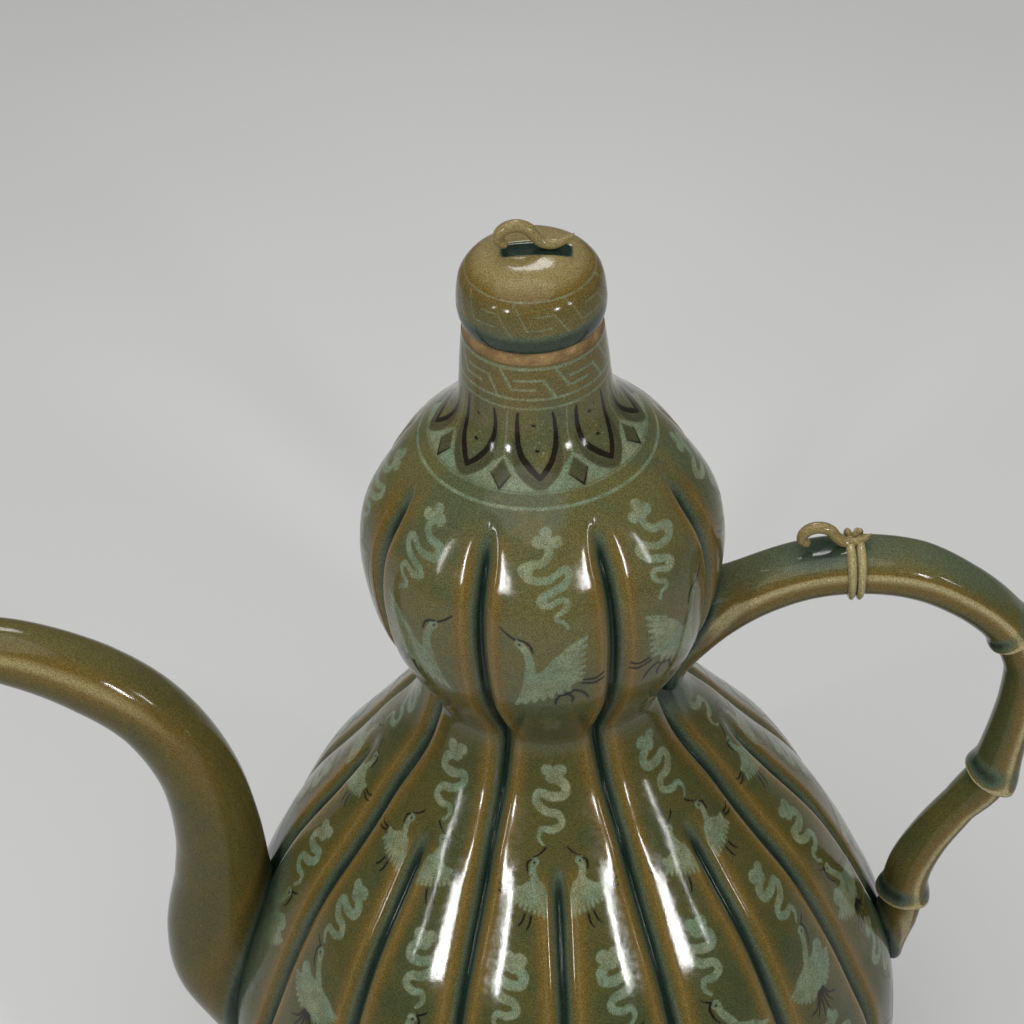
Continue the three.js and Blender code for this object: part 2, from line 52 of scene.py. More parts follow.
# Sizes shared with the solids
JOINT_GAP = 0.3
FOOT_RADIUS = 47
FOOT_HEIGHT = 5
FOOT_RING_WIDTH = 7
FOOT_FLARE = 1.2
LOWER_RADIUS = 97.4
LOWER_EQUATOR = FOOT_HEIGHT + 61
LOWER_WALL = 6
LOWER_FLOOR = FOOT_HEIGHT + 7
LOWER_GROOVES = 16
WAIST_HEIGHT = LOWER_EQUATOR + 134
WAIST_RADIUS = 32.6
UPPER_RADIUS = 47.2
UPPER_EQUATOR = WAIST_HEIGHT + 46
UPPER_WALL = 5
UPPER_GROOVES = 8
NECK_HEIGHT = UPPER_EQUATOR + 48
NECK_RADIUS = 19.1
MOUTH_HEIGHT = NECK_HEIGHT + 21
MOUTH_RADIUS = 17.2
MOUTH_BORE_RADIUS = 12.8
LID_SEAT = MOUTH_HEIGHT + JOINT_GAP
LID_RADIUS = 18.4
LID_HEIGHT = 19
LID_WALL = 3.6
FLANGE_LENGTH = 13
FLANGE_RADIUS = MOUTH_BORE_RADIUS - 0.9
FLANGE_BORE_RADIUS = FLANGE_RADIUS - 3
GROOVE_FADE = 14
SHORT_GROOVE_TOP = WAIST_HEIGHT - 24
UPPER_GROOVE_TOP = NECK_HEIGHT - 17

BASE_CURVE = [[0, 0], [0.05, 0.284], [0.148, 0.496], [0.311, 0.706], [0.541, 0.881], [0.77, 0.972]]
SHOULDER_CURVE = [
    [0, 1], [0.164, 0.975], [0.299, 0.877], [0.425, 0.767], [0.552, 0.628],
    [0.672, 0.441], [0.791, 0.255], [0.896, 0.085], [1, 0],
]
BELLY_CURVE = [[0, 0], [0.087, 0.12], [0.26, 0.44], [0.478, 0.78], [0.74, 0.95]]
NECK_CURVE = [[0, 1], [0.25, 0.918], [0.5, 0.651], [0.667, 0.388], [0.79, 0.19], [0.9, 0.05], [1, 0]]
NECK_TAPER = [[0.4, 0.3], [0.8, 0.75], [0.96, 1]]
LID_CURVE = [
    [0, 0.935], [0.027, 0.965], [0.12, 0.99], [0.24, 1], [0.4, 0.992], [0.57, 0.963],
    [0.68, 0.915], [0.79, 0.82], [0.89, 0.67], [0.955, 0.46], [0.99, 0.22], [1, 0],
]


def lerp(a, b, t):
    return a + (b - a) * t


def smoothstep(x, low, high):
    t = np.clip((x - low) / (high - low), 0, 1)
    return t * t * (3 - 2 * t)


def hump(x, middle, width):
    return np.exp(-(((x - middle) / width) ** 2))


# Curves


def cubic(start, end, start_slope, end_slope, w):
    return (
        (2 * start - 2 * end + start_slope + end_slope) * w**3
        + (-3 * start + 3 * end - 2 * start_slope - end_slope) * w**2
        + start_slope * w
        + start
    )


def even_spline(points, steps=24):
    """Points on a uniform Catmull-Rom spline through the given ones."""
    p = np.array(points, float)
    p = np.concatenate([p[:1], p, p[-1:]])
    w = np.linspace(0, 1, steps, endpoint=False)[:, None]
    spans = [
        cubic(p[i], p[i + 1], (p[i + 1] - p[i - 1]) / 2, (p[i + 2] - p[i]) / 2, w)
        for i in range(1, len(p) - 2)
    ]
    return np.concatenate([*spans, p[-1:]])


class PlaneCurve:
    """A centripetal Catmull-Rom curve in the plane Y = 0, from [x, z] pairs, by a place from 0 to 1."""

    def __init__(self, points):
        p = np.array(points, float)
        self.p = np.concatenate([2 * p[:1] - p[1:2], p, 2 * p[-1:] - p[-2:-1]])
        self.spans = len(p) - 1

    def at(self, t):
        place = np.clip(t, 0, 1) * self.spans
        i = np.minimum(place.astype(int), self.spans - 1)
        w = (place - i)[:, None]
        p0, p1, p2, p3 = (self.p[i + k] for k in range(4))
        d0, d1, d2 = (
            np.linalg.norm(b - a, axis=1)[:, None] ** 0.5 for a, b in ((p0, p1), (p1, p2), (p2, p3))
        )
        start = ((p1 - p0) / d0 - (p2 - p0) / (d0 + d1) + (p2 - p1) / d1) * d1
        end = ((p2 - p1) / d1 - (p3 - p1) / (d1 + d2) + (p3 - p2) / d2) * d1
        return cubic(p1, p2, start, end, w)

    def along(self, t):
        step = 1e-4
        d = self.at(np.clip(t + step, 0, 1)) - self.at(np.clip(t - step, 0, 1))
        return d / np.linalg.norm(d, axis=1)[:, None]


def values_along(values, t):
    return np.interp(t, np.linspace(0, 1, len(values)), values)


# Meshes


def grid_faces(rows, columns, close_columns, close_rows=False):
    """Quads over a grid of points, and the grid place of each of their corners."""
    i = np.arange(rows if close_rows else rows - 1)[:, None]
    j = np.arange(columns if close_columns else columns - 1)[None, :]
    corners = [(i, j), (i, j + 1), (i + 1, j + 1), (i + 1, j)]
    index = np.stack([(a % rows) * columns + (b % columns) + 0 * i + 0 * j for a, b in corners], -1)
    place = np.stack([np.stack(np.broadcast_arrays(b + 0 * i, a + 0 * j), -1) for a, b in corners], -2)
    return index.reshape(-1, 4), place.reshape(-1, 4, 2)


def make_piece(name, points, faces, body, material, nodes=(), slot="celadon_glaze", uv=None,
               normals=None, **attributes):
    """A smooth mesh piece that rides on a body, with values for its material at each vertex."""
    mesh = bpy.data.meshes.new(name)
    mesh.from_pydata((points * MM + AXIS).tolist(), [], [list(f) for f in faces])
    for key, values in attributes.items():
        layer = mesh.attributes.new(key, "FLOAT", "POINT")
        layer.data.foreach_set("value", np.asarray(values, np.float32).ravel())
    if uv is not None:
        layer = mesh.uv_layers.new(name="OFBake")
        layer.uv.foreach_set("vector", np.asarray(uv, np.float32).ravel())
    mesh.shade_smooth()
    if normals is not None:
        mesh.normals_split_custom_set_from_vertices(normals.tolist())
    mesh.materials.append(material)
    piece = bpy.data.objects.new(name, mesh)
    bpy.context.scene.collection.objects.link(piece)
    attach(piece, body)
    if nodes:
        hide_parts(*nodes)
    return piece


def grid_normals(points, closed):
    """Normals of a grid of points whose rows go up and whose columns go anticlockwise seen from above."""
    up = np.concatenate([points[1:2] - points[:1], points[2:] - points[:-2], points[-1:] - points[-2:-1]])
    if closed:
        across = np.roll(points, -1, 1) - np.roll(points, 1, 1)
    else:
        across = np.gradient(points, axis=1)
    n = np.cross(across, up)
    return n / np.maximum(np.linalg.norm(n, axis=-1, keepdims=True), 1e-12)


def grid_piece(name, points, body, material, nodes=(), close_rows=False, cap_first=False,
               cap_last=False, slot="celadon_glaze", **values):
    """A piece from closed rings of points. Its ends stay open, close on each other or get flat caps."""
    rows, columns = points.shape[:2]
    faces, place = grid_faces(rows, columns, True, close_rows)
    faces = faces.tolist()
    uv = (place / [columns, rows]).reshape(-1, 2).tolist()
    for wanted, row in ((cap_first, 0), (cap_last, rows - 1)):
        if wanted:
            ring = range(row * columns, (row + 1) * columns)
            faces.append(list(reversed(ring)) if row == 0 else list(ring))
            uv.extend([[0, 0]] * columns)
    values = {key: grid.reshape(rows * columns, -1) for key, grid in values.items()}
    return make_piece(name, points.reshape(-1, 3), faces, body, material, nodes, slot, uv, **values)


def ring_angles(count):
    return np.linspace(0, 2 * math.pi, count, endpoint=False)


def turned(line, angle):
    """Rings of points about the axis, from [radius, height] pairs."""
    return np.array([[(r * math.cos(a), r * math.sin(a), z) for a in angle] for r, z in line])


def bare_ring(name, points, body, node):
    """A piece of bare clay whose rings of points run round its section."""
    grid_piece(name, points, body, clay, [node], close_rows=True, slot="biscuit_clay")


# Glaze and clay


class Nodes:
    """Short calls for adding nodes to one material."""

    def __init__(self, name):
        self.material = bpy.data.materials.new(name)
        self.material.use_nodes = True
        self.tree = self.material.node_tree
        self.shader = self.tree.nodes["Principled BSDF"]
        self.place = self.add("ShaderNodeTexCoord").outputs["Object"]

    def add(self, kind, **settings):
        node = self.tree.nodes.new(kind)
        for key, value in settings.items():
            setattr(node, key, value)
        return node

    def put(self, socket, value):
        if isinstance(value, bpy.types.NodeSocket):
            self.tree.links.new(value, socket)
        else:
            socket.default_value = value

    def math(self, operation, a, b=0.0, clamp=False):
        node = self.add("ShaderNodeMath", operation=operation, use_clamp=clamp)
        self.put(node.inputs[0], a)
        self.put(node.inputs[1], b)
        return node.outputs[0]

    def noise(self, scale, detail=3.0, roughness=0.5, distortion=0.0):
        node = self.add("ShaderNodeTexNoise")
        self.put(node.inputs["Vector"], self.place)
        self.put(node.inputs["Scale"], scale)
        self.put(node.inputs["Detail"], detail)
        self.put(node.inputs["Roughness"], roughness)
        self.put(node.inputs["Distortion"], distortion)
        return node.outputs["Fac"]

    def crackle(self, scale):
        node = self.add("ShaderNodeTexVoronoi", feature="DISTANCE_TO_EDGE")
        self.put(node.inputs["Vector"], self.place)
        self.put(node.inputs["Scale"], scale)
        return node.outputs["Distance"]

    def value(self, name):
        return self.add("ShaderNodeAttribute", attribute_name=name).outputs["Fac"]

    def spread(self, value, low, high, to_low=0.0, to_high=1.0):
        node = self.add("ShaderNodeMapRange", interpolation_type="SMOOTHSTEP")
        self.put(node.inputs["Value"], value)
        for key, number in (("From Min", low), ("From Max", high), ("To Min", to_low), ("To Max", to_high)):
            self.put(node.inputs[key], number)
        return node.outputs["Result"]

    def mix(self, factor, a, b, blend="MIX"):
        node = self.add("ShaderNodeMix", data_type="RGBA", blend_type=blend)
        self.put(node.inputs["Factor"], factor)
        self.put(node.inputs[6], a)
        self.put(node.inputs[7], b)
        return node.outputs[2]

    def bump(self, height, distance, strength=1.0, normal=None):
        node = self.add("ShaderNodeBump")
        self.put(node.inputs["Height"], height)
        self.put(node.inputs["Distance"], distance * MM)
        self.put(node.inputs["Strength"], strength)
        if normal is not None:
            self.put(node.inputs["Normal"], normal)
        return node.outputs["Normal"]


OLIVE = (0.106, 0.097, 0.035, 1)
GREEN = (0.074, 0.086, 0.04, 1)
AMBER = (0.13, 0.086, 0.019, 1)
BUFF = (0.33, 0.285, 0.14, 1)
BROWN = (0.042, 0.043, 0.022, 1)
SEA = (0.075, 0.095, 0.058, 1)
TEAL = (0.009, 0.021, 0.015, 1)
SLIP = (0.25, 0.255, 0.15, 1)
SLIP_GREEN = (0.15, 0.215, 0.14, 1)
INK = (0.007, 0.005, 0.003, 1)
# Painted shade: multiplies the glaze colour lower down on the ewer
PAINTED_SHADE_LOW = (0.7, 0.72, 0.58, 1)
DARK_SPECK = (0.6, 0.56, 0.48, 1)
PALE_SPECK = (1.5, 1.5, 1.5, 1)
# Heights in metres below which the painted shade starts, and below which it is full
SHADE_STARTS_BELOW = 0.236
SHADE_FULL_BELOW = 0.2
GLAZE_IOR = 1.32


def glaze_ground(n, cloudy):
    """The glaze of even thickness: olive in green drifts, and darker lower down by painted shade, fully so
    below the waist.
    """
    blotch = n.math("ADD", n.noise(28, 3, 0.55, 0.4), n.math("MULTIPLY", cloudy, 0.4))
    colour = n.mix(n.spread(blotch, 0.56, 0.78), GREEN, OLIVE)
    # Painted shade, darker from the upper bulb's underside down and full from the waist down
    height = n.add("ShaderNodeSeparateXYZ")
    n.put(height.inputs[0], n.place)
    low = n.spread(height.outputs["Z"], SHADE_STARTS_BELOW, SHADE_FULL_BELOW)
    return n.mix(low, colour, n.mix(1.0, colour, PAINTED_SHADE_LOW, "MULTIPLY"))


def thin_glaze(n, colour, cloudy):
    """Brown where the glaze runs thin, and buff where the clay all but shows. On the spout's arch and the
    handle's corners these values also carry painted highlights.
    """
    ridge = n.value("ridge")
    uneven = n.spread(cloudy, 0.25, 0.7, 0.7, 1.0)
    colour = n.mix(n.math("MULTIPLY", ridge, uneven, clamp=True), colour, AMBER)
    return n.mix(n.spread(ridge, 1.1, 2.0), colour, BUFF)


def over_inlay(n, colour):
    """White slip of uneven thickness, brown stain and black slip, by the distances to their edges."""
    wander = n.math("MULTIPLY", n.math("SUBTRACT", n.noise(700, 3, 0.6), 0.5), 0.45)
    white = n.spread(n.math("ADD", n.value("slip"), wander), 0.3, -0.35)
    thick = n.spread(n.noise(260, 4, 0.7), 0.3, 0.68, 0.42, 0.92)
    slip = n.mix(n.spread(n.noise(90, 3), 0.35, 0.8), SLIP_GREEN, SLIP)
    colour = n.mix(n.math("MULTIPLY", white, thick), colour, slip)
    colour = n.mix(n.spread(n.value("stain"), 0.5, -0.5, 0.0, 0.7), colour, BROWN)
    ink = n.value("ink")
    colour = n.mix(n.spread(ink, 0.7, 0.0, 0.0, 0.35), colour, BROWN)
    blurred = n.math("ADD", ink, n.math("MULTIPLY", wander, 0.5))
    return n.mix(n.spread(blurred, 0.13, -0.13, 0.0, 0.94), colour, INK)


def pooled_glaze(n, colour, cloudy):
    wavering = n.math("MULTIPLY", n.math("SUBTRACT", cloudy, 0.5), 0.25)
    pool = n.math("ADD", n.value("pool"), wavering, clamp=True)
    colour = n.mix(n.spread(pool, 0.12, 0.58), colour, SEA)
    return n.mix(n.spread(pool, 0.4, 1.0), colour, TEAL)


def speckled(n, colour, grain):
    """Dark and pale specks, and a faint crackle."""
    for speck, end in ((DARK_SPECK, 0.62), (PALE_SPECK, 0.38)):
        shade = n.mix(1.0, colour, speck, "MULTIPLY")
        colour = n.mix(n.spread(grain, 0.5, end, 0.0, 0.8), colour, shade)
    return n.mix(n.spread(n.crackle(300), 0.0, 0.04, 0.2, 0.0), colour, BROWN)


def celadon(name, inlaid=False):
    """Clear olive glaze, thin and brown on ridges, deep and blue-green where it pools, finely speckled."""
    n = Nodes(name)
    cloudy = n.noise(150, 4, 0.6, 0.3)
    grain = n.noise(3300, 2, 0.6)
    colour = thin_glaze(n, glaze_ground(n, cloudy), cloudy)
    if inlaid:
        colour = over_inlay(n, colour)
    n.put(n.shader.inputs["Base Color"], speckled(n, pooled_glaze(n, colour, cloudy), grain))
    n.put(n.shader.inputs["Roughness"], n.spread(n.noise(420, 4, 0.6), 0.3, 0.75, 0.08, 0.17))
    n.shader.inputs["IOR"].default_value = GLAZE_IOR
    waves = n.bump(n.noise(170, 2), 0.05, 1.0)
    n.put(n.shader.inputs["Normal"], n.bump(grain, 0.004, 1.0, waves))
    return n.material


CLAY_DARK = (0.17, 0.1, 0.035, 1)
CLAY_PALE = (0.36, 0.23, 0.09, 1)
RUST = (0.1, 0.045, 0.02, 1)
GRIT = (0.55, 0.42, 0.27, 1)


def biscuit(name):
    """Bare fired clay, rusty and grainy."""
    n = Nodes(name)
    tone = n.noise(180, 5, 0.6, 0.5)
    grain = n.noise(1500, 4, 0.7)
    colour = n.mix(n.spread(tone, 0.3, 0.7), CLAY_DARK, CLAY_PALE)
    colour = n.mix(n.spread(grain, 0.55, 0.7, 0.0, 0.7), colour, RUST)
    colour = n.mix(n.spread(grain, 0.42, 0.3, 0.0, 0.5), colour, GRIT)
    n.put(n.shader.inputs["Base Color"], colour)
    n.put(n.shader.inputs["Roughness"], n.spread(grain, 0.3, 0.7, 0.7, 0.95))
    n.put(n.shader.inputs["Normal"], n.bump(n.math("ADD", grain, tone), 0.25, 0.9))
    return n.material


glaze = celadon("celadon_glaze")
inlaid_glaze = celadon("celadon_glaze_over_inlay", inlaid=True)
clay = biscuit("biscuit_clay")

# Outline of the whole body, from the foot to the mouth


def span(curve, radii, heights):
    return [[lerp(*radii, r), lerp(*heights, h)] for h, r in curve]


def body_outline():
    lower = even_spline(
        span(BASE_CURVE, (FOOT_RADIUS, LOWER_RADIUS), (FOOT_HEIGHT, LOWER_EQUATOR))
        + span(SHOULDER_CURVE, (WAIST_RADIUS, LOWER_RADIUS), (LOWER_EQUATOR, WAIST_HEIGHT))
    )
    upper = even_spline(
        span(BELLY_CURVE, (WAIST_RADIUS, UPPER_RADIUS), (WAIST_HEIGHT, UPPER_EQUATOR))
        + span(NECK_CURVE, (NECK_RADIUS, UPPER_RADIUS), (UPPER_EQUATOR, NECK_HEIGHT))
    )
    neck = span(NECK_TAPER, (NECK_RADIUS, MOUTH_RADIUS), (NECK_HEIGHT, MOUTH_HEIGHT))
    return np.concatenate([lower, upper[1:], np.array(neck)])


outline = body_outline()
SOFTENING = np.linspace(-3, 3, 9)


def radius_at(height):
    """The body's plain radius, with the crease at the waist softened by glaze."""
    return np.mean([np.interp(height + d, outline[:, 1], outline[:, 0]) for d in SOFTENING], axis=0)


arc_heights = np.linspace(FOOT_HEIGHT, MOUTH_HEIGHT, 4000)
arc_lengths = np.concatenate([
    [0], np.cumsum(np.hypot(np.diff(arc_heights), np.diff(radius_at(arc_heights)))),
])


def arc_at(height):
    return np.interp(height, arc_heights, arc_lengths)


def height_on_arc(arc):
    return np.interp(arc, arc_lengths, arc_heights)


GROOVE_STEP = 2 * math.pi / LOWER_GROOVES
LOBE_DROP_UPPER = 2.5
LOBE_DROP_WAIST = 1.9
LOBE_DROP_BELLY = 0.7
NARROW_LOBE_DROP = 1.5
DENT_DEPTH = 2.3
DENT_HALF_WIDTH = 2.5
FLANK_LIFT = 0.3
WAIST_POOL = 0.3
JOINT_POOL = 0.95
INSIDE_POOL = 0.2
NECK_RIDGE = 0.45
GROOVE_RIDGE = 1.3


def groove_strength(height, top):
    at_foot = smoothstep(height, FOOT_HEIGHT, FOOT_HEIGHT + GROOVE_FADE)
    return at_foot * smoothstep(top - height, 0, GROOVE_FADE)


def groove_distance(angle, first, step, radius):
    """Distance in millimetres to the nearest groove of an even set, and half the gap between them."""
    off = (angle - first + step / 2) % step - step / 2
    return np.abs(off) * radius, step / 2 * radius


def lobe(distance, half):
    """From 0 at the middle of a lobe to 1 at the grooves beside it."""
    return (1 - np.clip(distance / half, 0, 1)) ** 2


def body_surface(angle, height):
    """Points of the lobed body, and how deep its glaze pools and how much it thins at each one."""
    radius = radius_at(height)
    long_strength = groove_strength(height, UPPER_GROOVE_TOP)
    short_strength = groove_strength(height, SHORT_GROOVE_TOP)
    wide, wide_half = groove_distance(angle, GROOVE_STEP, 2 * GROOVE_STEP, radius)
    short, _ = groove_distance(angle, 0, 2 * GROOVE_STEP, radius)
    narrow, narrow_half = groove_distance(angle, 0, GROOVE_STEP, radius)
    drop = np.interp(
        height, [LOWER_EQUATOR, WAIST_HEIGHT - 20, WAIST_HEIGHT, UPPER_EQUATOR],
        [LOBE_DROP_BELLY, LOBE_DROP_WAIST, LOBE_DROP_WAIST, LOBE_DROP_UPPER],
    )
    grown = -drop * lobe(wide, wide_half) * long_strength
    grown = grown - NARROW_LOBE_DROP * lobe(narrow, narrow_half) * short_strength
    pool = WAIST_POOL * hump(height, WAIST_HEIGHT, 4)
    ridge = NECK_RIDGE * smoothstep(height, NECK_HEIGHT + 2, NECK_HEIGHT + 10)
    for distance, strength in ((wide, long_strength), (short, short_strength)):
        share = distance / DENT_HALF_WIDTH
        grown = grown + strength * (FLANK_LIFT * hump(share, 1.5, 1) - DENT_DEPTH * np.exp(-1.6 * share**2))
        pool = np.maximum(pool, strength * hump(share, 0, 0.82))
        ridge = np.maximum(ridge, GROOVE_RIDGE * strength * hump(share, 1.75, 0.88))
    r = radius + grown
    points = np.stack(np.broadcast_arrays(r * np.cos(angle), r * np.sin(angle), height), -1)
    return points, np.maximum(pool, joint_pool(points)), ridge


def joint_pool(points):
    """How deep glaze pools on the body round the spout and the handle."""
    pool = np.zeros(points.shape[:-1])
    for curve, first, last, radius, reach in (
        (spout_curve, 0.12, 0.4, spout_radius, 14),
        (handle_curve, 0, 0.1, handle_radius, 10),
        (handle_curve, 0.9, 1, handle_radius, 10),
    ):
        t = np.linspace(first, last, 15)
        for (x, z), r in zip(curve.at(t), radius(t), strict=True):
            near = np.maximum(np.linalg.norm(points - [x, 0, z], axis=-1) - r, 0)
            pool = np.maximum(pool, JOINT_POOL * hump(near, 0, reach))
    return pool


def graded_angles(sectors, first, steps):
    """Angles all round, close together at the grooves that bound the sectors."""
    power = 1.6
    half = math.pi / sectors
    out = half * np.linspace(0, 1, steps, endpoint=False) ** power
    back = 2 * half - half * np.linspace(1, 0, steps, endpoint=False) ** power
    sector = np.sort(np.concatenate([out, back]))
    return (first + 2 * half * np.arange(sectors)[:, None] + sector[None, :]).ravel()


def body_piece(name, node, angle, height, inner, **ends):
    """A glazed piece of the body: its outside over the given heights, then its inside line."""
    edge = 0.4
    beyond = np.concatenate([[height[0] - edge], height, [height[-1] + edge]])
    points, pool, ridge = body_surface(angle[None, :], beyond[:, None])
    inside = turned(inner, angle)
    flat = np.zeros(inside.shape[:2])
    normals = np.concatenate([
        grid_normals(points, True)[1:-1], grid_normals(np.concatenate([points[-2:-1], inside]), True)[1:],
    ])
    grid_piece(
        name, np.concatenate([points[1:-1], inside]), "ewer", glaze, [node], normals=normals,
        pool=np.concatenate([pool[1:-1], flat + INSIDE_POOL]),
        ridge=np.concatenate([ridge[1:-1], flat]), **ends,
    )


def even_heights(low, high, rows):
    return height_on_arc(np.linspace(arc_at(low), arc_at(high), rows))


GROOVE_ROOM = 1
THROAT_RADIUS = WAIST_RADIUS - LOWER_WALL
FLOOR_FLAT_RADIUS = 30


def inner_wall(wall, low, high):
    """The line of a bulb's inside from the higher place down, with room for the grooves."""
    return [(radius_at(z) - wall - GROOVE_ROOM, z) for z in np.linspace(high, low, 12)]


def lower_bulb():
    angle = graded_angles(LOWER_GROOVES, 0, 20)
    wall = inner_wall(LOWER_WALL, LOWER_FLOOR + 3, WAIST_HEIGHT - 12)
    inner = [(THROAT_RADIUS, WAIST_HEIGHT), *wall, (FLOOR_FLAT_RADIUS, LOWER_FLOOR), (0.3, LOWER_FLOOR)]
    height = even_heights(FOOT_HEIGHT, WAIST_HEIGHT, 200)
    body_piece("lower_bulb_glazed", "lower_bulb", angle, height, inner, cap_last=True, cap_first=True)


def upper_bulb():
    angle = graded_angles(UPPER_GROOVES, GROOVE_STEP, 30)
    wall = [(max(r, MOUTH_BORE_RADIUS), z) for r, z in inner_wall(UPPER_WALL, WAIST_HEIGHT + 6, NECK_HEIGHT)]
    height = even_heights(WAIST_HEIGHT, NECK_HEIGHT, 130)
    inner = [*wall, (THROAT_RADIUS, WAIST_HEIGHT)]
    body_piece("upper_bulb_glazed", "upper_bulb", angle, height, inner, close_rows=True)


BARE_HEIGHT = MOUTH_HEIGHT - 3.1
NECK_SIDES = 160


def neck():
    height = np.linspace(NECK_HEIGHT, BARE_HEIGHT, 60)
    inner = [(MOUTH_BORE_RADIUS, BARE_HEIGHT), (MOUTH_BORE_RADIUS, NECK_HEIGHT)]
    body_piece("neck_glazed", "neck", ring_angles(NECK_SIDES), height, inner, close_rows=True)


def mouth_rim():
    """The bare mouth that the lid stands on, above the wavering edge of the glaze."""
    angle = ring_angles(NECK_SIDES)
    waver = 0.1 * np.sin(5 * angle + 0.4) + 0.12 * np.sin(11 * angle + 2) + 0.05 * np.sin(23 * angle)
    radius = radius_at(BARE_HEIGHT)
    rounding = 0.7
    corner = 0.3 * rounding
    points = turned([
        (MOUTH_BORE_RADIUS, BARE_HEIGHT), (radius - 0.3, BARE_HEIGHT), (radius - 0.02, BARE_HEIGHT + 0.15),
        (MOUTH_RADIUS, MOUTH_HEIGHT - rounding), (MOUTH_RADIUS - corner, MOUTH_HEIGHT - corner),
        (MOUTH_RADIUS - rounding, MOUTH_HEIGHT), (MOUTH_BORE_RADIUS, MOUTH_HEIGHT),
    ], angle)
    points[1:3, :, 2] += waver - 0.25
    bare_ring("mouth_rim_bare", points, "ewer", "neck")


# What is swept along a curve

SPOUT_ROOT = (31.4 - LOWER_RADIUS, LOWER_EQUATOR - 10)
SPOUT_REACH = 99
SPOUT_RISE = 160.5
SPOUT_RADIUS = 14.5
SPOUT_WALL = 3.6
SPOUT_LIP_WALL = 2.4
SPOUT_START = 0.1
SPOUT_LIP = 0.006
SPOUT_CURVE = [
    (0, 0), (0.222, 0.1), (0.328, 0.193), (0.341, 0.287), (0.305, 0.424), (0.292, 0.536),
    (0.327, 0.685), (0.429, 0.816), (0.571, 0.9), (0.768, 0.966), (1, 1),
]
SPOUT_TAPER = [1, 0.986, 0.979, 0.945, 0.869, 0.828, 0.752, 0.71, 0.69, 0.621, 0.524]
HANDLE_FOOT = LOWER_EQUATOR + 13
HANDLE_TOP = WAIST_HEIGHT + 28.4
HANDLE_OUT = LOWER_RADIUS + 30.6
HANDLE_RADIUS = 7.7
HANDLE_BREADTH_RATIO = 1.16
HANDLE_FLATNESS = 2.7
HANDLE_CURVE = [
    (-0.045, 0.806), (0.13, 0.914), (0.256, 0.965), (0.392, 0.995), (0.539, 1), (0.686, 0.98),
    (0.811, 0.932), (0.906, 0.877), (0.96, 0.827), (1, 0.75), (0.994, 0.663), (0.966, 0.562),
    (0.931, 0.472), (0.849, 0.398), (0.763, 0.311), (0.713, 0.234), (0.702, 0.167), (0.69, 0.094),
    (0.671, 0),
]
HANDLE_TAPER = [
    0.98, 0.95, 0.93, 0.92, 0.92, 0.92, 0.86, 0.83, 0.82, 0.71, 0.7, 0.75, 0.86, 0.66, 0.71, 0.78, 0.81,
    0.62, 0.21,
]
HANDLE_SPAN = len(HANDLE_CURVE) - 1
HANDLE_SIDES = 56
HANDLE_NODES = [8, 12, 16]
NODE_FLARE = 0.15
NODE_STEP = 0.18
NODE_REACH = 0.35
NODE_POOL = 0.85
BAND_PLACE = 3.79 / HANDLE_SPAN
BAND_PITCH = 2.3
BAND_HALF_WIDTH = 1.05
BAND_THICKNESS = 1.7
LOOP_LENGTH = 20
LOOP_ROD_RADIUS = 1.6
KNOT_ROD_RADIUS = 0.95
KNOT_OFFSET = 3
LOOP_REST_SHARE = 0.325
LOOP_CURVE = [
    (-0.25, 0.05), (-0.31, 0.072), (-0.363, 0.13), (-0.345, 0.22), (-0.265, 0.295), (-0.13, 0.32),
    (0, 0.265), (0.08, 0.156), (0.165, 0.07), (0.285, 0.04), (0.415, 0.08), (0.55, 0.18),
]
LOOP_TAPER = [0.55, 0.75, 0.88, 0.95, 1, 1, 0.98, 0.96, 0.93, 0.85, 0.65, 0.25]
KNOT_CURVE = [(-0.085, 0.14), (-0.07, 0.06), (0, 0.025), (0.07, 0.06), (0.085, 0.14)]

spout_curve = PlaneCurve([
    (SPOUT_ROOT[0] - out * SPOUT_REACH, SPOUT_ROOT[1] + up * SPOUT_RISE) for out, up in SPOUT_CURVE
])
handle_curve = PlaneCurve([
    (lerp(WAIST_RADIUS, HANDLE_OUT, out), lerp(HANDLE_FOOT, HANDLE_TOP, up)) for out, up in HANDLE_CURVE
])


def swept(curve, t, side, rise):
    """Rings of points round a plane curve, one row for each place t. Side is along Y and rise away
    from the curve in its plane."""
    centre, along = curve.at(t), curve.along(t)
    up = np.stack([-along[:, 1], along[:, 0]], -1)
    x = centre[:, :1] + up[:, :1] * rise
    z = centre[:, 1:] + up[:, 1:] * rise
    return np.stack([x, side + 0 * x, z], -1)


def tube(curve, t, radius, sides):
    """Rings of points round a plane curve, with a radius for each place t."""
    angle = ring_angles(sides)[None, :]
    return swept(curve, t, radius[:, None] * np.cos(angle), radius[:, None] * np.sin(angle))


def curve_length(curve, steps):
    return np.linalg.norm(np.diff(curve.at(np.linspace(0, 1, steps)), axis=0), axis=1).sum()


def outside_body(points):
    """How far points stand outside the plain outline of the body, along the radius."""
    return np.hypot(points[..., 0], points[..., 1]) - radius_at(points[..., 2])


def joint_fillet(curve, t, points, reach, lift):
    """Points moved away from their curve where they meet the body, and how near the body each one is."""
    near = np.exp(-np.maximum(outside_body(points), 0) / reach)
    away = points - swept(curve, t, 0, np.zeros((len(t), 1)))
    away = away / np.maximum(np.linalg.norm(away, axis=-1, keepdims=True), 1e-9)
    return points + away * (lift * near)[..., None], near


def spout_radius(t):
    return SPOUT_RADIUS * values_along(SPOUT_TAPER, t)


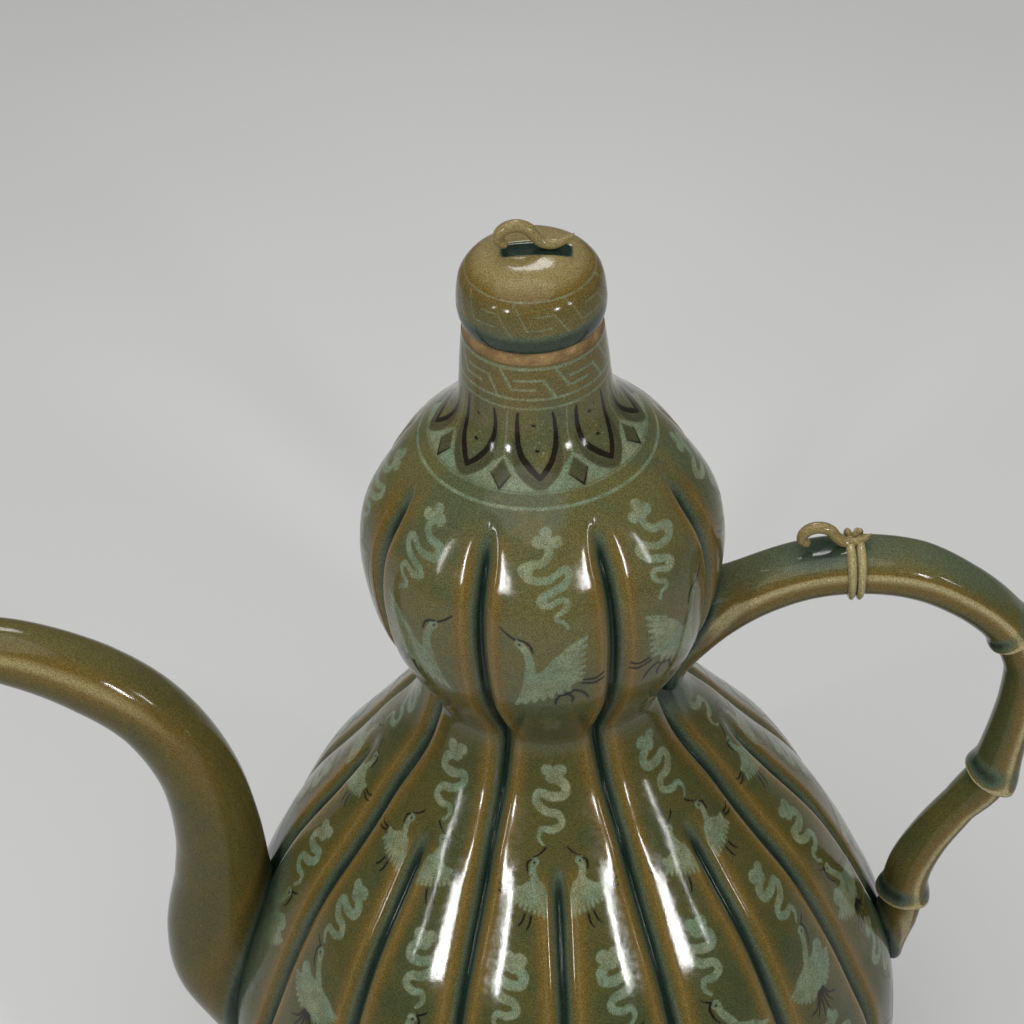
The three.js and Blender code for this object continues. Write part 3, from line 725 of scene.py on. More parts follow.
def spout():
    """The spout's outside from the bulb to the rounded lip, then its bore back down."""
    sides = 64
    t = np.linspace(SPOUT_START, 1, 190)
    radius = spout_radius(t)
    wall = lerp(SPOUT_WALL, SPOUT_LIP_WALL, t)
    at_lip = np.clip((t - (1 - SPOUT_LIP)) / SPOUT_LIP, 0, 1)
    closing = 0.5 * wall * (1 - np.sqrt(1 - 0.98 * at_lip**2))
    outside, near = joint_fillet(spout_curve, t, tube(spout_curve, t, radius - closing, sides), 4.2, 3.6)
    inside = tube(spout_curve, t[::-1], (radius - wall + closing)[::-1], sides)
    rise = np.sin(ring_angles(sides))
    arching = smoothstep(t, 0.45, 0.8)[:, None]
    thick = 0.22 * np.clip(-rise, 0, 1) ** 2 * arching
    # Thin glaze and a painted highlight: a buff band along the arch, on the side towards the camera
    thin_glaze_and_sheen = 1.35 * hump(rise, -0.42, 0.33) * arching
    pool = np.maximum(smoothstep(near, 0.3, 0.85), thick)
    ridge = 0.25 + thin_glaze_and_sheen + 0.6 * hump(near, 0.2, 0.12) + np.exp(-((1 - t[:, None]) / 0.02))
    flat = np.zeros(inside.shape[:2])
    grid_piece(
        "spout_glazed", np.concatenate([outside, inside]), "ewer", glaze, ["spout"], close_rows=True,
        pool=np.concatenate([pool, flat + 0.3]), ridge=np.concatenate([ridge, flat]),
    )


def node_shape(place):
    """How the bamboo swells towards each node and starts narrower past it."""
    shape = np.ones_like(place)
    pool = np.zeros_like(place)
    ridge = np.zeros_like(place)
    for node in HANDLE_NODES:
        ahead = node - place
        before = ahead >= 0
        flare = 1 + NODE_FLARE * hump(ahead, 0, NODE_REACH)
        shape = shape * np.where(before, flare, 1 - NODE_STEP * np.exp(ahead / NODE_REACH))
        pool = np.maximum(pool, NODE_POOL * np.where(before, hump(ahead, 0.34, 0.26), np.exp(ahead / 0.12)))
        ridge = np.maximum(ridge, np.where(before, hump(ahead, 0, 0.09), 0.0))
    return shape, pool, ridge


def handle_half(place):
    return HANDLE_RADIUS * values_along(HANDLE_TAPER, place / HANDLE_SPAN) * node_shape(place)[0]


def handle_radius(t):
    return handle_half(t * HANDLE_SPAN)


def handle_section(place, grow=0.0):
    """Side and rise of the rod's sections: broad, and flatter on the outer side."""
    half = handle_half(place)[:, None]
    angle = ring_angles(HANDLE_SIDES)[None, :]
    power = np.where(np.sin(angle) > 0, 2 / HANDLE_FLATNESS, 1.0)
    across = np.sign(np.cos(angle)) * np.abs(np.cos(angle)) ** power
    out = np.sign(np.sin(angle)) * np.abs(np.sin(angle)) ** power
    grow = np.reshape(grow, (-1, 1))
    return (half * HANDLE_BREADTH_RATIO + grow) * across, (half + grow) * out


def handle():
    """The bamboo rod, with closer rings at its nodes. Glaze is thin along its outer corners, where a painted
    highlight runs too.
    """
    close = np.array([-0.16, -0.12, -0.09, -0.06, -0.03, 0, 0.004, 0.012, 0.03, 0.06, 0.1])
    at_nodes = [node + close for node in HANDLE_NODES]
    place = np.unique(np.concatenate([np.linspace(0, HANDLE_SPAN, 260), *at_nodes]))
    t = place / HANDLE_SPAN
    points, near = joint_fillet(handle_curve, t, swept(handle_curve, t, *handle_section(place)), 3.2, 2.6)
    _, pool, ridge = node_shape(place)
    rise = np.sin(ring_angles(HANDLE_SIDES))
    under_loop = hump(place, BAND_PLACE * HANDLE_SPAN - 0.5, 0.55)
    thick = 0.4 * smoothstep(HANDLE_NODES[0] + 1 - place, 0, 3) + 0.45 * under_loop
    outer = np.clip(rise, 0, 1) ** 2 * thick[:, None]
    # Thin glaze along the outer corners, with a narrow painted highlight along them
    corner = hump(rise, 0.1, 0.45) + hump(rise, 0.27, 0.17)
    away_from_corner = 1 - 0.6 * hump(rise, 0.27, 0.4)
    pool = np.maximum(pool[:, None] * away_from_corner + outer, smoothstep(near, 0.3, 0.95))
    ridge = 2.2 * ridge[:, None] + corner + 0.75 * hump(near, 0.2, 0.12)
    grid_piece("handle_glazed", points, "ewer", glaze, ["handle"], cap_first=True, cap_last=True,
               pool=pool, ridge=ridge)


def rod(node, curve, taper, radius, seat, body):
    """A rolled coil of clay along a plane curve, moved into place, with rounded ends."""
    steps = 90
    t = np.linspace(0, 1, steps)
    near = np.clip(np.minimum(t, 1 - t) * curve_length(curve, steps) / radius, 0, 1)
    rounded = np.sqrt(np.maximum(1 - (1 - near) ** 2, 0.0004))
    points = tube(curve, t, radius * values_along(taper, t) * rounded, 20) + seat
    flat = np.zeros(points.shape[:2])
    grid_piece(node + "_glazed", points, body, glaze, [node], cap_first=True, cap_last=True,
               pool=flat, ridge=flat + 1.5)


def cord_loop(node, seat, body):
    rod(node, shared_curve(LOOP_CURVE), LOOP_TAPER, LOOP_ROD_RADIUS, seat, body)


def shared_curve(shares):
    """A curve from shares of the cord loops' length."""
    return PlaneCurve([(a * LOOP_LENGTH, b * LOOP_LENGTH) for a, b in shares])


def handle_dressings():
    """The two thin coils round the handle and the cord loop that touches down on them."""
    length = curve_length(handle_curve, 2000)
    for name, side in (("handle_band_inner", -1), ("handle_band_outer", 1)):
        turn = np.linspace(-1, 1, 13)
        t = BAND_PLACE + (side * BAND_PITCH / 2 + turn * BAND_HALF_WIDTH) / length
        crown = BAND_THICKNESS * np.sqrt(np.maximum(1 - 0.97 * turn**2, 0)) - 0.2
        points = swept(handle_curve, t, *handle_section(t * HANDLE_SPAN, crown))
        flat = np.zeros(points.shape[:2])
        grid_piece(name + "_glazed", points, "ewer", glaze, [name], pool=flat, ridge=flat + 1.8)
    middle = handle_curve.at(np.array([BAND_PLACE]))[0]
    top = middle[1] + handle_radius(np.array([BAND_PLACE]))[0]
    rest = LOOP_REST_SHARE * LOOP_LENGTH
    cord_loop("handle_loop", np.array([middle[0] - rest, 0, top]), "ewer")
    beside = np.array([middle[0], KNOT_OFFSET, top])
    rod("handle_loop_knot", shared_curve(KNOT_CURVE), [1, 1], KNOT_ROD_RADIUS, beside, "ewer")


# Lid and foot

lid_line = even_spline([(LID_RADIUS * r, LID_SEAT + LID_HEIGHT * h) for h, r in LID_CURVE])
lid_arcs = np.concatenate([[0], np.cumsum(np.hypot(*np.diff(lid_line, axis=0).T))])
LID_POOL_TOP = LID_SEAT + 7.5
LID_CORD_STRIP = (-7, 10.4, 2.8)


def lid_radius(arc):
    return np.interp(arc, lid_arcs, lid_line[:, 0])


def lid_surface(angle, arc):
    """Points of the lid's outside by arc length from its lower edge, with its pooled and thin glaze.
    Round the feet of the cord loop the crown sinks a little and glaze fills it."""
    radius = lid_radius(arc)
    height = np.interp(arc, lid_arcs, lid_line[:, 1])
    x, y = radius * np.cos(angle), radius * np.sin(angle)
    low, high, half = LID_CORD_STRIP
    beyond = np.maximum(np.maximum(low + half - x, x - high + half), 0)
    inside = smoothstep(half - (beyond**4 + y**4) ** 0.25, -0.6, 0.6)
    sunk = inside * smoothstep(height, LID_SEAT + 0.8 * LID_HEIGHT, LID_SEAT + 0.9 * LID_HEIGHT)
    height = height - 0.3 * sunk
    points = np.stack(np.broadcast_arrays(x, y, height), -1)
    pool = np.maximum(0.8 * smoothstep(LID_POOL_TOP - height, 0, 4), 0.92 * sunk)
    shoulder = smoothstep(height, LID_SEAT + 2.7, LID_SEAT + 7.7)
    ridge = 0.4 * shoulder + 1.1 * smoothstep(height, LID_SEAT + 9.7, LID_SEAT + 17.7)
    return points, pool, ridge


def lid():
    angle = ring_angles(240)
    arc = np.linspace(0, lid_arcs[-1] - 0.05, 150)
    points, pool, ridge = lid_surface(angle[None, :], arc[:, None])
    top = LID_SEAT + LID_HEIGHT
    hollow = top - LID_WALL
    bore = FLANGE_BORE_RADIUS
    line = [(0.05, hollow), (bore * 0.6, hollow - 0.7), (bore, hollow - 2.9), (bore, LID_SEAT)]
    under = turned(line, angle)
    flat = np.zeros(under.shape[:2])
    grid_piece(
        "lid_dome_glazed", np.concatenate([under, points]), "lid", glaze, ["lid_dome"], cap_first=True,
        cap_last=True, pool=np.concatenate([flat, pool]), ridge=np.concatenate([flat, ridge]),
    )
    cord_loop("lid_loop", np.array([0, 0, top]), "lid")


def flange():
    bore, outer = FLANGE_BORE_RADIUS, FLANGE_RADIUS
    foot = LID_SEAT - FLANGE_LENGTH
    line = [
        (bore, LID_SEAT), (bore, foot + 0.5), (bore + 0.5, foot),
        (outer - 0.6, foot), (outer, foot + 0.6), (outer, LID_SEAT),
    ]
    bare_ring("lid_flange_bare", turned(line, ring_angles(96)), "lid", "lid_flange")


def foot_ring():
    inner = FOOT_RADIUS - FOOT_RING_WIDTH
    outer = FOOT_RADIUS + FOOT_FLARE
    line = [
        (inner, FOOT_HEIGHT), (inner, 0.6), (inner + 0.6, 0),
        (outer - 0.8, 0), (outer, 0.8), (FOOT_RADIUS, FOOT_HEIGHT),
    ]
    bare_ring("foot_ring_bare", turned(line, ring_angles(160)), "ewer", "foot_ring")


lower_bulb()
upper_bulb()
neck()
mouth_rim()
spout()
handle()
handle_dressings()
lid()
flange()
foot_ring()

# Inlay: drawings of white and black slip under the glaze, laid on the body as thin patches. A
# drawing's u runs to the right seen from outside and v upwards, in millimetres, from its own middle.


class Drawing:
    """Strokes and areas of white slip, of black slip, of brown stain and of what stays bare of slip."""

    def __init__(self):
        self.white, self.black, self.brown, self.bare = [], [], [], []

    def stroke(self, colour, points, widths):
        """A line through smoothed points, with its half widths spread evenly along it."""
        line = even_spline(points, 6) if len(points) > 2 else np.array(points, float)
        half = np.interp(np.linspace(0, 1, len(line)), np.linspace(0, 1, len(widths)), widths)
        colour.append(("stroke", line, half))

    def area(self, colour, points):
        colour.append(("area", even_spline([*points, points[0]], 5)[:-1], None))

    def dot(self, colour, u, v, half):
        self.stroke(colour, [(u, v), (u + 0.01, v)], [half])

    def placed(self, u, v, mirror=False, scale=1.0):
        """A copy of the drawing moved to a place."""
        spread = np.array([-scale if mirror else scale, scale])
        copy = Drawing()
        for own, source in zip(copy.layers(), self.layers(), strict=True):
            for kind, line, half in source:
                own.append((kind, line * spread + [u, v], None if half is None else half * scale))
        return copy

    def layers(self):
        return self.white, self.black, self.brown, self.bare

    def add(self, other):
        for own, source in zip(self.layers(), other.layers(), strict=True):
            own += source


def to_segments(points, line, closed=False):
    """Distance of each point to each segment of a line, and the share along it of the nearest place."""
    a = line if closed else line[:-1]
    b = np.roll(line, -1, 0) if closed else line[1:]
    along = b - a
    t = np.einsum("pk,sk->ps", points, along) - np.einsum("sk,sk->s", a, along)
    t = np.clip(t / np.maximum(np.einsum("sk,sk->s", along, along), 1e-9), 0, 1)
    gap = points[:, None] - a[None] - t[..., None] * along[None]
    return np.sqrt(np.einsum("psk,psk->ps", gap, gap)), t


def inside_area(points, line):
    a, b = line, np.roll(line, -1, 0)
    spans = (a[None, :, 1] > points[:, None, 1]) != (b[None, :, 1] > points[:, None, 1])
    rise = np.where(np.abs(b[:, 1] - a[:, 1]) < 1e-12, 1e-12, b[:, 1] - a[:, 1])
    cross = a[:, 0] + (points[:, None, 1] - a[:, 1]) * (b[:, 0] - a[:, 0]) / rise
    return (spans & (points[:, None, 0] < cross)).sum(1) % 2 == 1


FAR = 4.0


def drawn_distance(shapes, points):
    """Signed distance from points to the edge of a set of shapes, negative inside, up to FAR."""
    best = np.full(len(points), FAR)
    for kind, line, half in shapes:
        reach = FAR if half is None else FAR + half.max()
        near = ((points > line.min(0) - reach) & (points < line.max(0) + reach)).all(1)
        if not near.any():
            continue
        gap, t = to_segments(points[near], line, closed=kind == "area")
        if kind == "area":
            found = gap.min(1) * np.where(inside_area(points[near], line), -1, 1)
        else:
            found = (gap - lerp(half[:-1], half[1:], t)).min(1)
        best[near] = np.minimum(best[near], found)
    return best


def cloud():
    """A cloud with a three-lobed head over a winding ribbon that thins to its end."""
    d = Drawing()
    for u, v, half in ((0.8, -1.2, 1.3), (-1.2, -3.5, 1.35), (3.2, -3.7, 1.3), (1, -3.7, 1.5)):
        d.dot(d.white, u, v, half)
    d.stroke(d.white, [
        (1.3, -5), (1.3, -6.8), (-0.4, -8.7), (-2.9, -9.2), (-5.1, -10.6), (-3.8, -12.6), (-1.2, -13),
        (1.2, -12.8), (3, -11.8), (5, -10.7), (6.3, -12.2), (5, -14.4), (2.2, -15.8), (-0.4, -16.9),
        (-1.2, -18.4), (0.6, -19.4), (2.4, -18.6),
    ], [0.85, 0.75, 1.0, 0.75, 0.6, 0.75, 0.8, 0.6, 0.55])
    d.stroke(d.white, [(-5, -10.8), (-4.6, -11.2)], [1.35])
    d.stroke(d.white, [(-0.9, -18.2), (-0.5, -18.6)], [1.15])
    d.stroke(d.white, [
        (2.4, -18.6), (4.5, -18.1), (5.5, -19.6), (4.4, -21.2), (2.6, -22.1), (2.7, -23.5), (4.2, -24.1),
        (5.3, -25.7),
    ], [0.5, 0.45, 0.4, 0.32, 0.2])
    return d


def ribbon_cloud():
    """A slimmer cloud: a double head and a ribbon that winds down in three bends."""
    d = Drawing()
    for u, v, half in ((-1.4, -1.6, 1.5), (1.3, -1.2, 1.3), (0.2, -3, 1.5)):
        d.dot(d.white, u, v, half)
    d.stroke(d.white, [
        (-0.2, -3), (-2.4, -5), (-2.2, -7.2), (0.6, -7.4), (3.2, -6.6), (4, -8.6), (2.2, -10.6),
        (-0.6, -11.4), (-1.4, -13.6), (0.8, -14.8), (3, -14.6), (3.8, -16.6), (2.6, -18.4),
    ], [1.0, 0.95, 1.05, 0.8, 0.95, 0.7, 0.8, 0.45, 0.2])
    return d


def feathers(d, roots, tips, half):
    """White feathers from a line of roots to a line of tips, each one tapering in its outer half."""
    for root, tip in zip(roots, tips, strict=True):
        middle = (np.array(root) + np.array(tip)) / 2
        d.stroke(d.white, [root, middle, tip], [half, half, 0.12])


def crane_head(d, head, beak, nape):
    """The head with its eye, the dark beak line before it and the dark crest behind."""
    d.stroke(d.white, [head, (head[0] + 0.3, head[1] - 0.1)], [0.95])
    d.stroke(d.black, [(head[0], head[1] - 0.35), (head[0] + 0.05, head[1] - 0.35)], [0.27])
    d.stroke(d.black, beak, [0.12, 0.2, 0.24])
    d.stroke(d.black, nape, [0.22, 0.26, 0.14])


def rising_crane():
    """A crane with one wing raised to the right and the other lowered to the left."""
    d = Drawing()
    crane_head(d, (-6.2, -3.9), [(-11, 0), (-9.4, -1.5), (-7.3, -2.9)],
               [(-6.4, -2.8), (-4.6, -3.4), (-3.4, -4.6), (-2.9, -6.6)])
    neck_line = [(-6, -4.1), (-4.6, -6.4), (-3.9, -9), (-3.6, -11.6), (-3.8, -14)]
    d.stroke(d.white, neck_line, [0.8, 0.75, 0.9, 1.3])
    d.area(d.white, [
        (-4.4, -12.6), (-2.2, -13.6), (-0.4, -12.8), (1.6, -9.6), (4.8, -6.9), (8.2, -5), (8.2, -9),
        (8, -13.5), (7.6, -17.6), (4.4, -19.8), (0.4, -21.4), (-3, -22.8), (-6.4, -24), (-5.6, -18.5),
    ])
    wing = [(5.8 + 0.1 * k, -6.4 - 1.75 * k) for k in range(7)]
    feathers(d, wing, [(10.9 - 0.23 * k, -3.6 - 2.35 * k) for k in range(7)], 0.75)
    lower = [(4.2 - 1.5 * k, -17.8 - 0.58 * k) for k in range(7)]
    feathers(d, lower, [(6 - 2.3 * k, -21.2 - 0.97 * k) for k in range(7)], 0.75)
    for line in (
        [(9.6, -17.8), (12.6, -18.6), (15.2, -17.2)], [(9.2, -19), (12.4, -20.2), (15.2, -19.2)],
        [(3.4, -22.4), (2.4, -24.4), (2.2, -26.2)], [(5, -21.8), (6.6, -24), (6.4, -26)],
        [(7, -21), (9.4, -22.8), (10.8, -25.6)], [(3.6, -22.6), (5.2, -22.4), (6.8, -21.4)],
    ):
        d.stroke(d.black, line, [0.26, 0.34, 0.18])
    return d


def diving_crane():
    """A crane with its head up and both wings spread below it like a fan, over a dark tail."""
    d = Drawing()
    crane_head(d, (-2.6, -1), [(-6, 1.4), (-5, 0.6), (-3.8, 0)],
               [(-3.4, 0), (-4.4, -1.6), (-3.9, -4.4), (-2.8, -6)])
    neck_line = [(-2.4, -1.2), (-1.7, -3.6), (-0.4, -6), (0.8, -8.4), (0.9, -11)]
    d.stroke(d.white, neck_line, [0.75, 0.75, 0.95, 1.4])
    d.area(d.white, [
        (-0.6, -8.6), (-3, -8.4), (-5.2, -7), (-7.6, -8.8), (-6.6, -11.4), (-4.4, -14.4), (-1.4, -16.6),
        (2, -16.8), (5.4, -15.2), (8.4, -12.6), (6.4, -10.2), (3.6, -9.2), (2, -8.4),
    ])
    reach = np.linspace(math.radians(196), math.radians(346), 17)
    ring = np.stack([np.cos(reach), np.sin(reach)], -1)
    feathers(d, ring * [4.6, 3.6] + [0.4, -11.2], ring * [10.2, 8] + [0.4, -10.6], 0.72)
    for tip in ((-5.2, -22.6), (-2.8, -23.8), (-0.4, -24.6), (2, -24.4), (4.6, -23), (6.6, -21.2)):
        root = (0.3 + 0.22 * tip[0], -17.6)
        bend = (0.3 + 0.5 * tip[0], -20.6)
        d.stroke(d.black, [root, bend, tip], [0.24, 0.24, 0.14])
    return d


def falling_crane():
    """A small crane with its head up and its wings hanging beside each other like combs."""
    d = Drawing()
    crane_head(d, (-1.6, -1.2), [(-2.2, 0), (0, 1.3), (1.6, 3.2)],
               [(-2.6, -0.8), (-3.8, -1.8), (-3.6, -4.6)])
    d.stroke(d.white, [(-1.6, -1.4), (-2, -4), (-1.2, -6.6), (-0.4, -9)], [0.7, 0.75, 0.9, 1.3])
    d.area(d.white, [
        (-2.2, -7.4), (-5.4, -9.6), (-7.6, -9.8), (-6.8, -12), (-4, -13.6), (-1, -14.8), (1.6, -13.4),
        (1.8, -9.8), (0.4, -7.6),
    ])
    roots = [(-6 + 1.15 * k, -11.2 - 0.16 * k) for k in range(7)]
    tips = [(-8.2 + 1.55 * k, -14.4 - 0.75 * k + 0.02 * k * k) for k in range(7)]
    feathers(d, roots, tips, 0.5)
    d.stroke(d.white, [(0.6, -9), (1.8, -12.4), (2.6, -15.6), (3, -19)], [1.1, 1.0, 0.7, 0.2])
    for line in (
        [(-8.6, -10.2), (-11, -10.6), (-12.6, -9.6)], [(-8.8, -11.4), (-11.2, -12.4), (-12.8, -12)],
        [(-3.4, -18), (-4.2, -20.6), (-5.4, -22)], [(-1.4, -18.6), (-1.8, -21.4), (-2.6, -23)],
    ):
        d.stroke(d.black, line, [0.24, 0.26, 0.14])
    return d


PATCH_LIFT = 0.035
PATCH_MARGIN = 1.6


class OnBody:
    """The body's surface by arc length from the foot."""

    body = "ewer"

    @staticmethod
    def radius(arc):
        return radius_at(height_on_arc(arc))

    @staticmethod
    def points(angle, arc):
        return body_surface(angle, height_on_arc(arc))


class OnLid:
    """The lid's surface by arc length from its lower edge."""

    body = "lid"
    radius = staticmethod(lid_radius)
    points = staticmethod(lid_surface)


def inlay_patch(name, surface, middle, half_angle, low, high, step, drawing, bolder=0.0):
    """A thin patch over a sector of a surface, which carries a drawing. The drawing's u is the distance
    round from the sector's middle and its v the arc length. There are cells only near what is drawn."""
    v = np.linspace(low, high, round((high - low) / step) + 1)
    radius = surface.radius(v)
    angle = np.linspace(-half_angle, half_angle, 2 * math.ceil(half_angle * radius.max() / step) + 1)
    size = (len(v), len(angle))
    flat = np.stack(np.broadcast_arrays(angle * radius[:, None], v[:, None]), -1).reshape(-1, 2)
    white, black, brown, bare = (drawn_distance(layer, flat).reshape(size) for layer in drawing.layers())
    white = np.maximum(white - bolder, -bare)
    black = black - 0.25 * bolder
    points, pool, ridge = surface.points(middle + angle[None, :], v[:, None])
    normals = grid_normals(points, False)
    points = points + normals * PATCH_LIFT
    index, place = grid_faces(*size, False)
    wanted = (np.minimum(np.minimum(white, black), brown).ravel()[index] < PATCH_MARGIN).any(1)
    index, place = index[wanted], place[wanted]
    used, index = np.unique(index, return_inverse=True)

    def pick(grid):
        return grid.reshape(len(flat), -1)[used]

    uv = place / [size[1] - 1, size[0] - 1]
    make_piece(
        name, pick(points), index.reshape(-1, 4).tolist(), surface.body, inlaid_glaze, uv=uv,
        normals=pick(normals), pool=pick(pool), ridge=pick(ridge), slip=pick(white), ink=pick(black),
        stain=pick(brown),
    )


FRONT = math.radians(-90)

# The size of a patch's cells, and how much broader its white strokes are than drawn
UPPER_STEP = 0.36
LOWER_STEP = 0.5
WAIST_STEP = 0.4
NECK_STEP = 0.2
BOLDER = 0.28
WAIST_BOLDER = 0.08


def above_waist(rise):
    """Arc length at a height measured from the waist, which is negative below it."""
    return arc_at(WAIST_HEIGHT + rise)


def upper_inlay():
    """On each lobe of the upper bulb a cloud hangs over a crane."""
    for k in range(UPPER_GROOVES):
        mirror = k % 2 == 1
        d = Drawing()
        d.add(cloud().placed(-0.5 if mirror else 0, above_waist(74.5), mirror))
        d.add(rising_crane().placed(0.6 if mirror else -0.8, above_waist(52.2), mirror))
        middle = FRONT + 2 * k * GROOVE_STEP
        inlay_patch(f"upper_inlay_{k}", OnBody, middle, GROOVE_STEP, above_waist(18), above_waist(76.6),
                    UPPER_STEP, d, BOLDER)


def lower_inlay():
    """Below the waist a cloud tops each wide lobe. Cranes and clouds take turns down each narrow one."""
    for k in range(UPPER_GROOVES):
        d = Drawing()
        d.add(ribbon_cloud().placed(0, above_waist(-5.5), k % 2 == 0, 1.2))
        middle = FRONT + 2 * k * GROOVE_STEP
        inlay_patch(f"waist_inlay_{k}", OnBody, middle, GROOVE_STEP, above_waist(-24), above_waist(-4),
                    WAIST_STEP, d, WAIST_BOLDER)
    for k in range(LOWER_GROOVES):
        mirror = k % 2 == 0
        d = Drawing()
        d.add(falling_crane().placed(-4.9 if mirror else 4.9, above_waist(-26.5), mirror, 0.84))
        d.add(ribbon_cloud().placed(0, above_waist(-47), not mirror, 1.15))
        d.add(diving_crane().placed(0, above_waist(-66), mirror, 1.1))
        d.add(cloud().placed(0, above_waist(-90), mirror))
        d.add(rising_crane().placed(-1, above_waist(-120), not mirror, 1.1))
        d.add(ribbon_cloud().placed(0, above_waist(-146), mirror, 1.2))
        middle = FRONT + (k + 0.5) * GROOVE_STEP
        inlay_patch(f"lower_inlay_{k}", OnBody, middle, GROOVE_STEP / 2, above_waist(-180), above_waist(-24),
                    LOWER_STEP, d, BOLDER)


SECTOR = 360 / UPPER_GROOVES
NECK_SECTOR_MIDDLE = -6.6
LID_SECTOR_MIDDLE = 7.0


def placed_round(points, middle, base, radius, arc):
    """A drawing's places from pairs of degrees from the front and heights over a base."""
    return [(math.radians(a - middle) * radius(base + z), arc(base + z)) for a, z in points]


def on_neck(*points):
    """Places on the neck, by heights over its lower end."""
    return placed_round(points, NECK_SECTOR_MIDDLE, NECK_HEIGHT, radius_at, arc_at)


def on_lid(*points):
    """Places on the lid, by heights over its lower edge."""
    height, radius = lid_line[:, 1], lid_line[:, 0]
    return placed_round(
        points, LID_SECTOR_MIDDLE, LID_SEAT, lambda z: np.interp(z, height, radius),
        lambda z: np.interp(z, height, lid_arcs),
    )


def white_lines(d, on, lines):
    """Straight lines of slip, each with its ends and its half width."""
    for start, end, half in lines:
        d.stroke(d.white, on(start, end), [half, half])


def neck_fret(d):
    """Key fret between lines that run all round."""
    for height, half in ((16.9, 0.4), (8.4, 0.32), (5.7, 0.28), (-13.5, 0.18), (-16.2, 0.42)):
        white_lines(d, on_neck, [((-40, height), (27, height), half)])
    white_lines(d, on_neck, [
        ((-28.4, 16.4), (-18.2, 11), 0.36), ((-18.2, 11), (-0.8, 11.2), 0.32),
        ((-17, 13.6), (6.3, 13.7), 0.34), ((6.3, 13.7), (15.2, 8.5), 0.36),
        ((-22, 4.8), (-22.7, -6.5), 0.16),
    ])


def neck_ground(d):
    """The slip ground between two petals, on both sides of the sector."""
    half = [(0, -6.7), (6.6, -8.6), (11.9, -10.7), (19, -12.7), (21.5, -13.1), (10.5, -13.2), (0, -13.2)]
    both = half + [(-a, z) for a, z in reversed(half[1:-1])]
    for middle in (-SECTOR / 2, SECTOR / 2):
        d.area(d.white, on_neck(*((middle + a, z) for a, z in both)))


def neck_lozenge(d):
    """A brown lozenge on the slip ground, with black along its lower edges."""
    left, top, right, bottom = on_neck((-28.3, -10.6), (-22.8, -7.6), (-16.6, -10.4), (-21.6, -13.1))
    for layer in (d.bare, d.brown):
        layer.append(("area", np.array([left, top, right, bottom]), None))
    d.stroke(d.black, [left, bottom], [0.12, 0.26])
    d.stroke(d.black, [bottom, right], [0.26, 0.12])


def neck_petal(d):
    """A petal with a stained rim, a white edge, two black arms and dots inside."""
    d.stroke(d.brown, on_neck(
        (-17.6, -3), (-16, -6.6), (-10, -10), (0.3, -12), (9.4, -9.8), (14.2, -6.6), (15.4, -3),
    ), [0.3, 0.9, 1.1, 1.2, 1.1, 0.9, 0.3])
    d.stroke(d.white, on_neck(
        (-18.4, -5.4), (-16.4, -8.2), (-10.5, -11.1), (0.4, -13.1), (10.8, -11.1), (15.8, -8.4),
    ), [0.1, 0.1])
    d.stroke(d.black, on_neck(
        (-14.2, 4.4), (-14.9, 0.9), (-13.9, -4), (-10.9, -6.7), (-5.2, -9), (0.2, -10.8),
    ), [0.25, 0.55, 0.7, 0.8, 0.8, 0.65])
    d.stroke(d.black, on_neck(
        (11.8, 4.3), (13, 0.5), (12.1, -4.2), (8.4, -7.4), (4.2, -9.4), (0.2, -10.8),
    ), [0.25, 0.5, 0.68, 0.78, 0.78, 0.65])
    for u, v in on_neck((-2.8, 1), (-0.8, -5.4)):
        d.stroke(d.black, [(u - 0.2, v), (u + 0.2, v - 0.1)], [0.34])
    for u, v in on_neck(
        (3.5, 1.2), (-1.5, -2.1), (0.8, -3.5), (-2.5, -4.7), (3.2, -6), (1.5, -8.2), (4, -1.4),
    ):
        d.dot(d.white, u, v, 0.2)


def neck_inlay():
    """Eight sectors of key fret over a slip ground with lozenges, between petals."""
    low, high = arc_at(NECK_HEIGHT - 17.2), arc_at(BARE_HEIGHT - 0.3)
    for k in range(UPPER_GROOVES):
        d = Drawing()
        for draw in (neck_fret, neck_ground, neck_lozenge, neck_petal):
            draw(d)
        middle = FRONT + math.radians(NECK_SECTOR_MIDDLE + k * SECTOR)
        inlay_patch(f"neck_inlay_{k}", OnBody, middle, GROOVE_STEP, low, high, NECK_STEP, d)


def lid_fret(d):
    """Key fret of thin lines between a circle and a low line."""
    for height, half in ((14.15, 0.17), (3.3, 0.14)):
        white_lines(d, on_lid, [((-40, height), (54, height), half)])
    for turn in (-SECTOR, 0, SECTOR):
        white_lines(d, on_lid, [
            ((turn - 16.5, 14), (turn - 4.6, 7.4), 0.15), ((turn - 4.6, 7.4), (turn + 15.1, 7.6), 0.14),
            ((turn + 1.9, 11), (turn + 17.4, 11), 0.14), ((turn + 17.4, 11), (turn + 31, 4.3), 0.15),
        ])


def lid_inlay():
    low, high = 2.2, 17.0
    for k in range(UPPER_GROOVES):
        d = Drawing()
        lid_fret(d)
        middle = FRONT + math.radians(LID_SECTOR_MIDDLE + k * SECTOR)
        inlay_patch(f"lid_inlay_{k}", OnLid, middle, GROOVE_STEP, low, high, NECK_STEP, d)


upper_inlay()
lower_inlay()
neck_inlay()
lid_inlay()

# Studio


def look_rotation(right, up):
    """The rotation of a camera or lamp that looks along its own -Z."""
    return Matrix([right, up, np.cross(right, up)]).transposed().to_4x4()


CAMERA_DISTANCE = 800
CAMERA_FOCAL_PIXELS = 3000
CAMERA_ELEVATION = math.radians(42.36)
CAMERA_ROLL = math.radians(-2.59)
CAMERA_TARGET_HEIGHT = 208
TARGET_PIXEL = (547.0, 637.2)
PICTURE_SIDE = 1024
SENSOR = 36


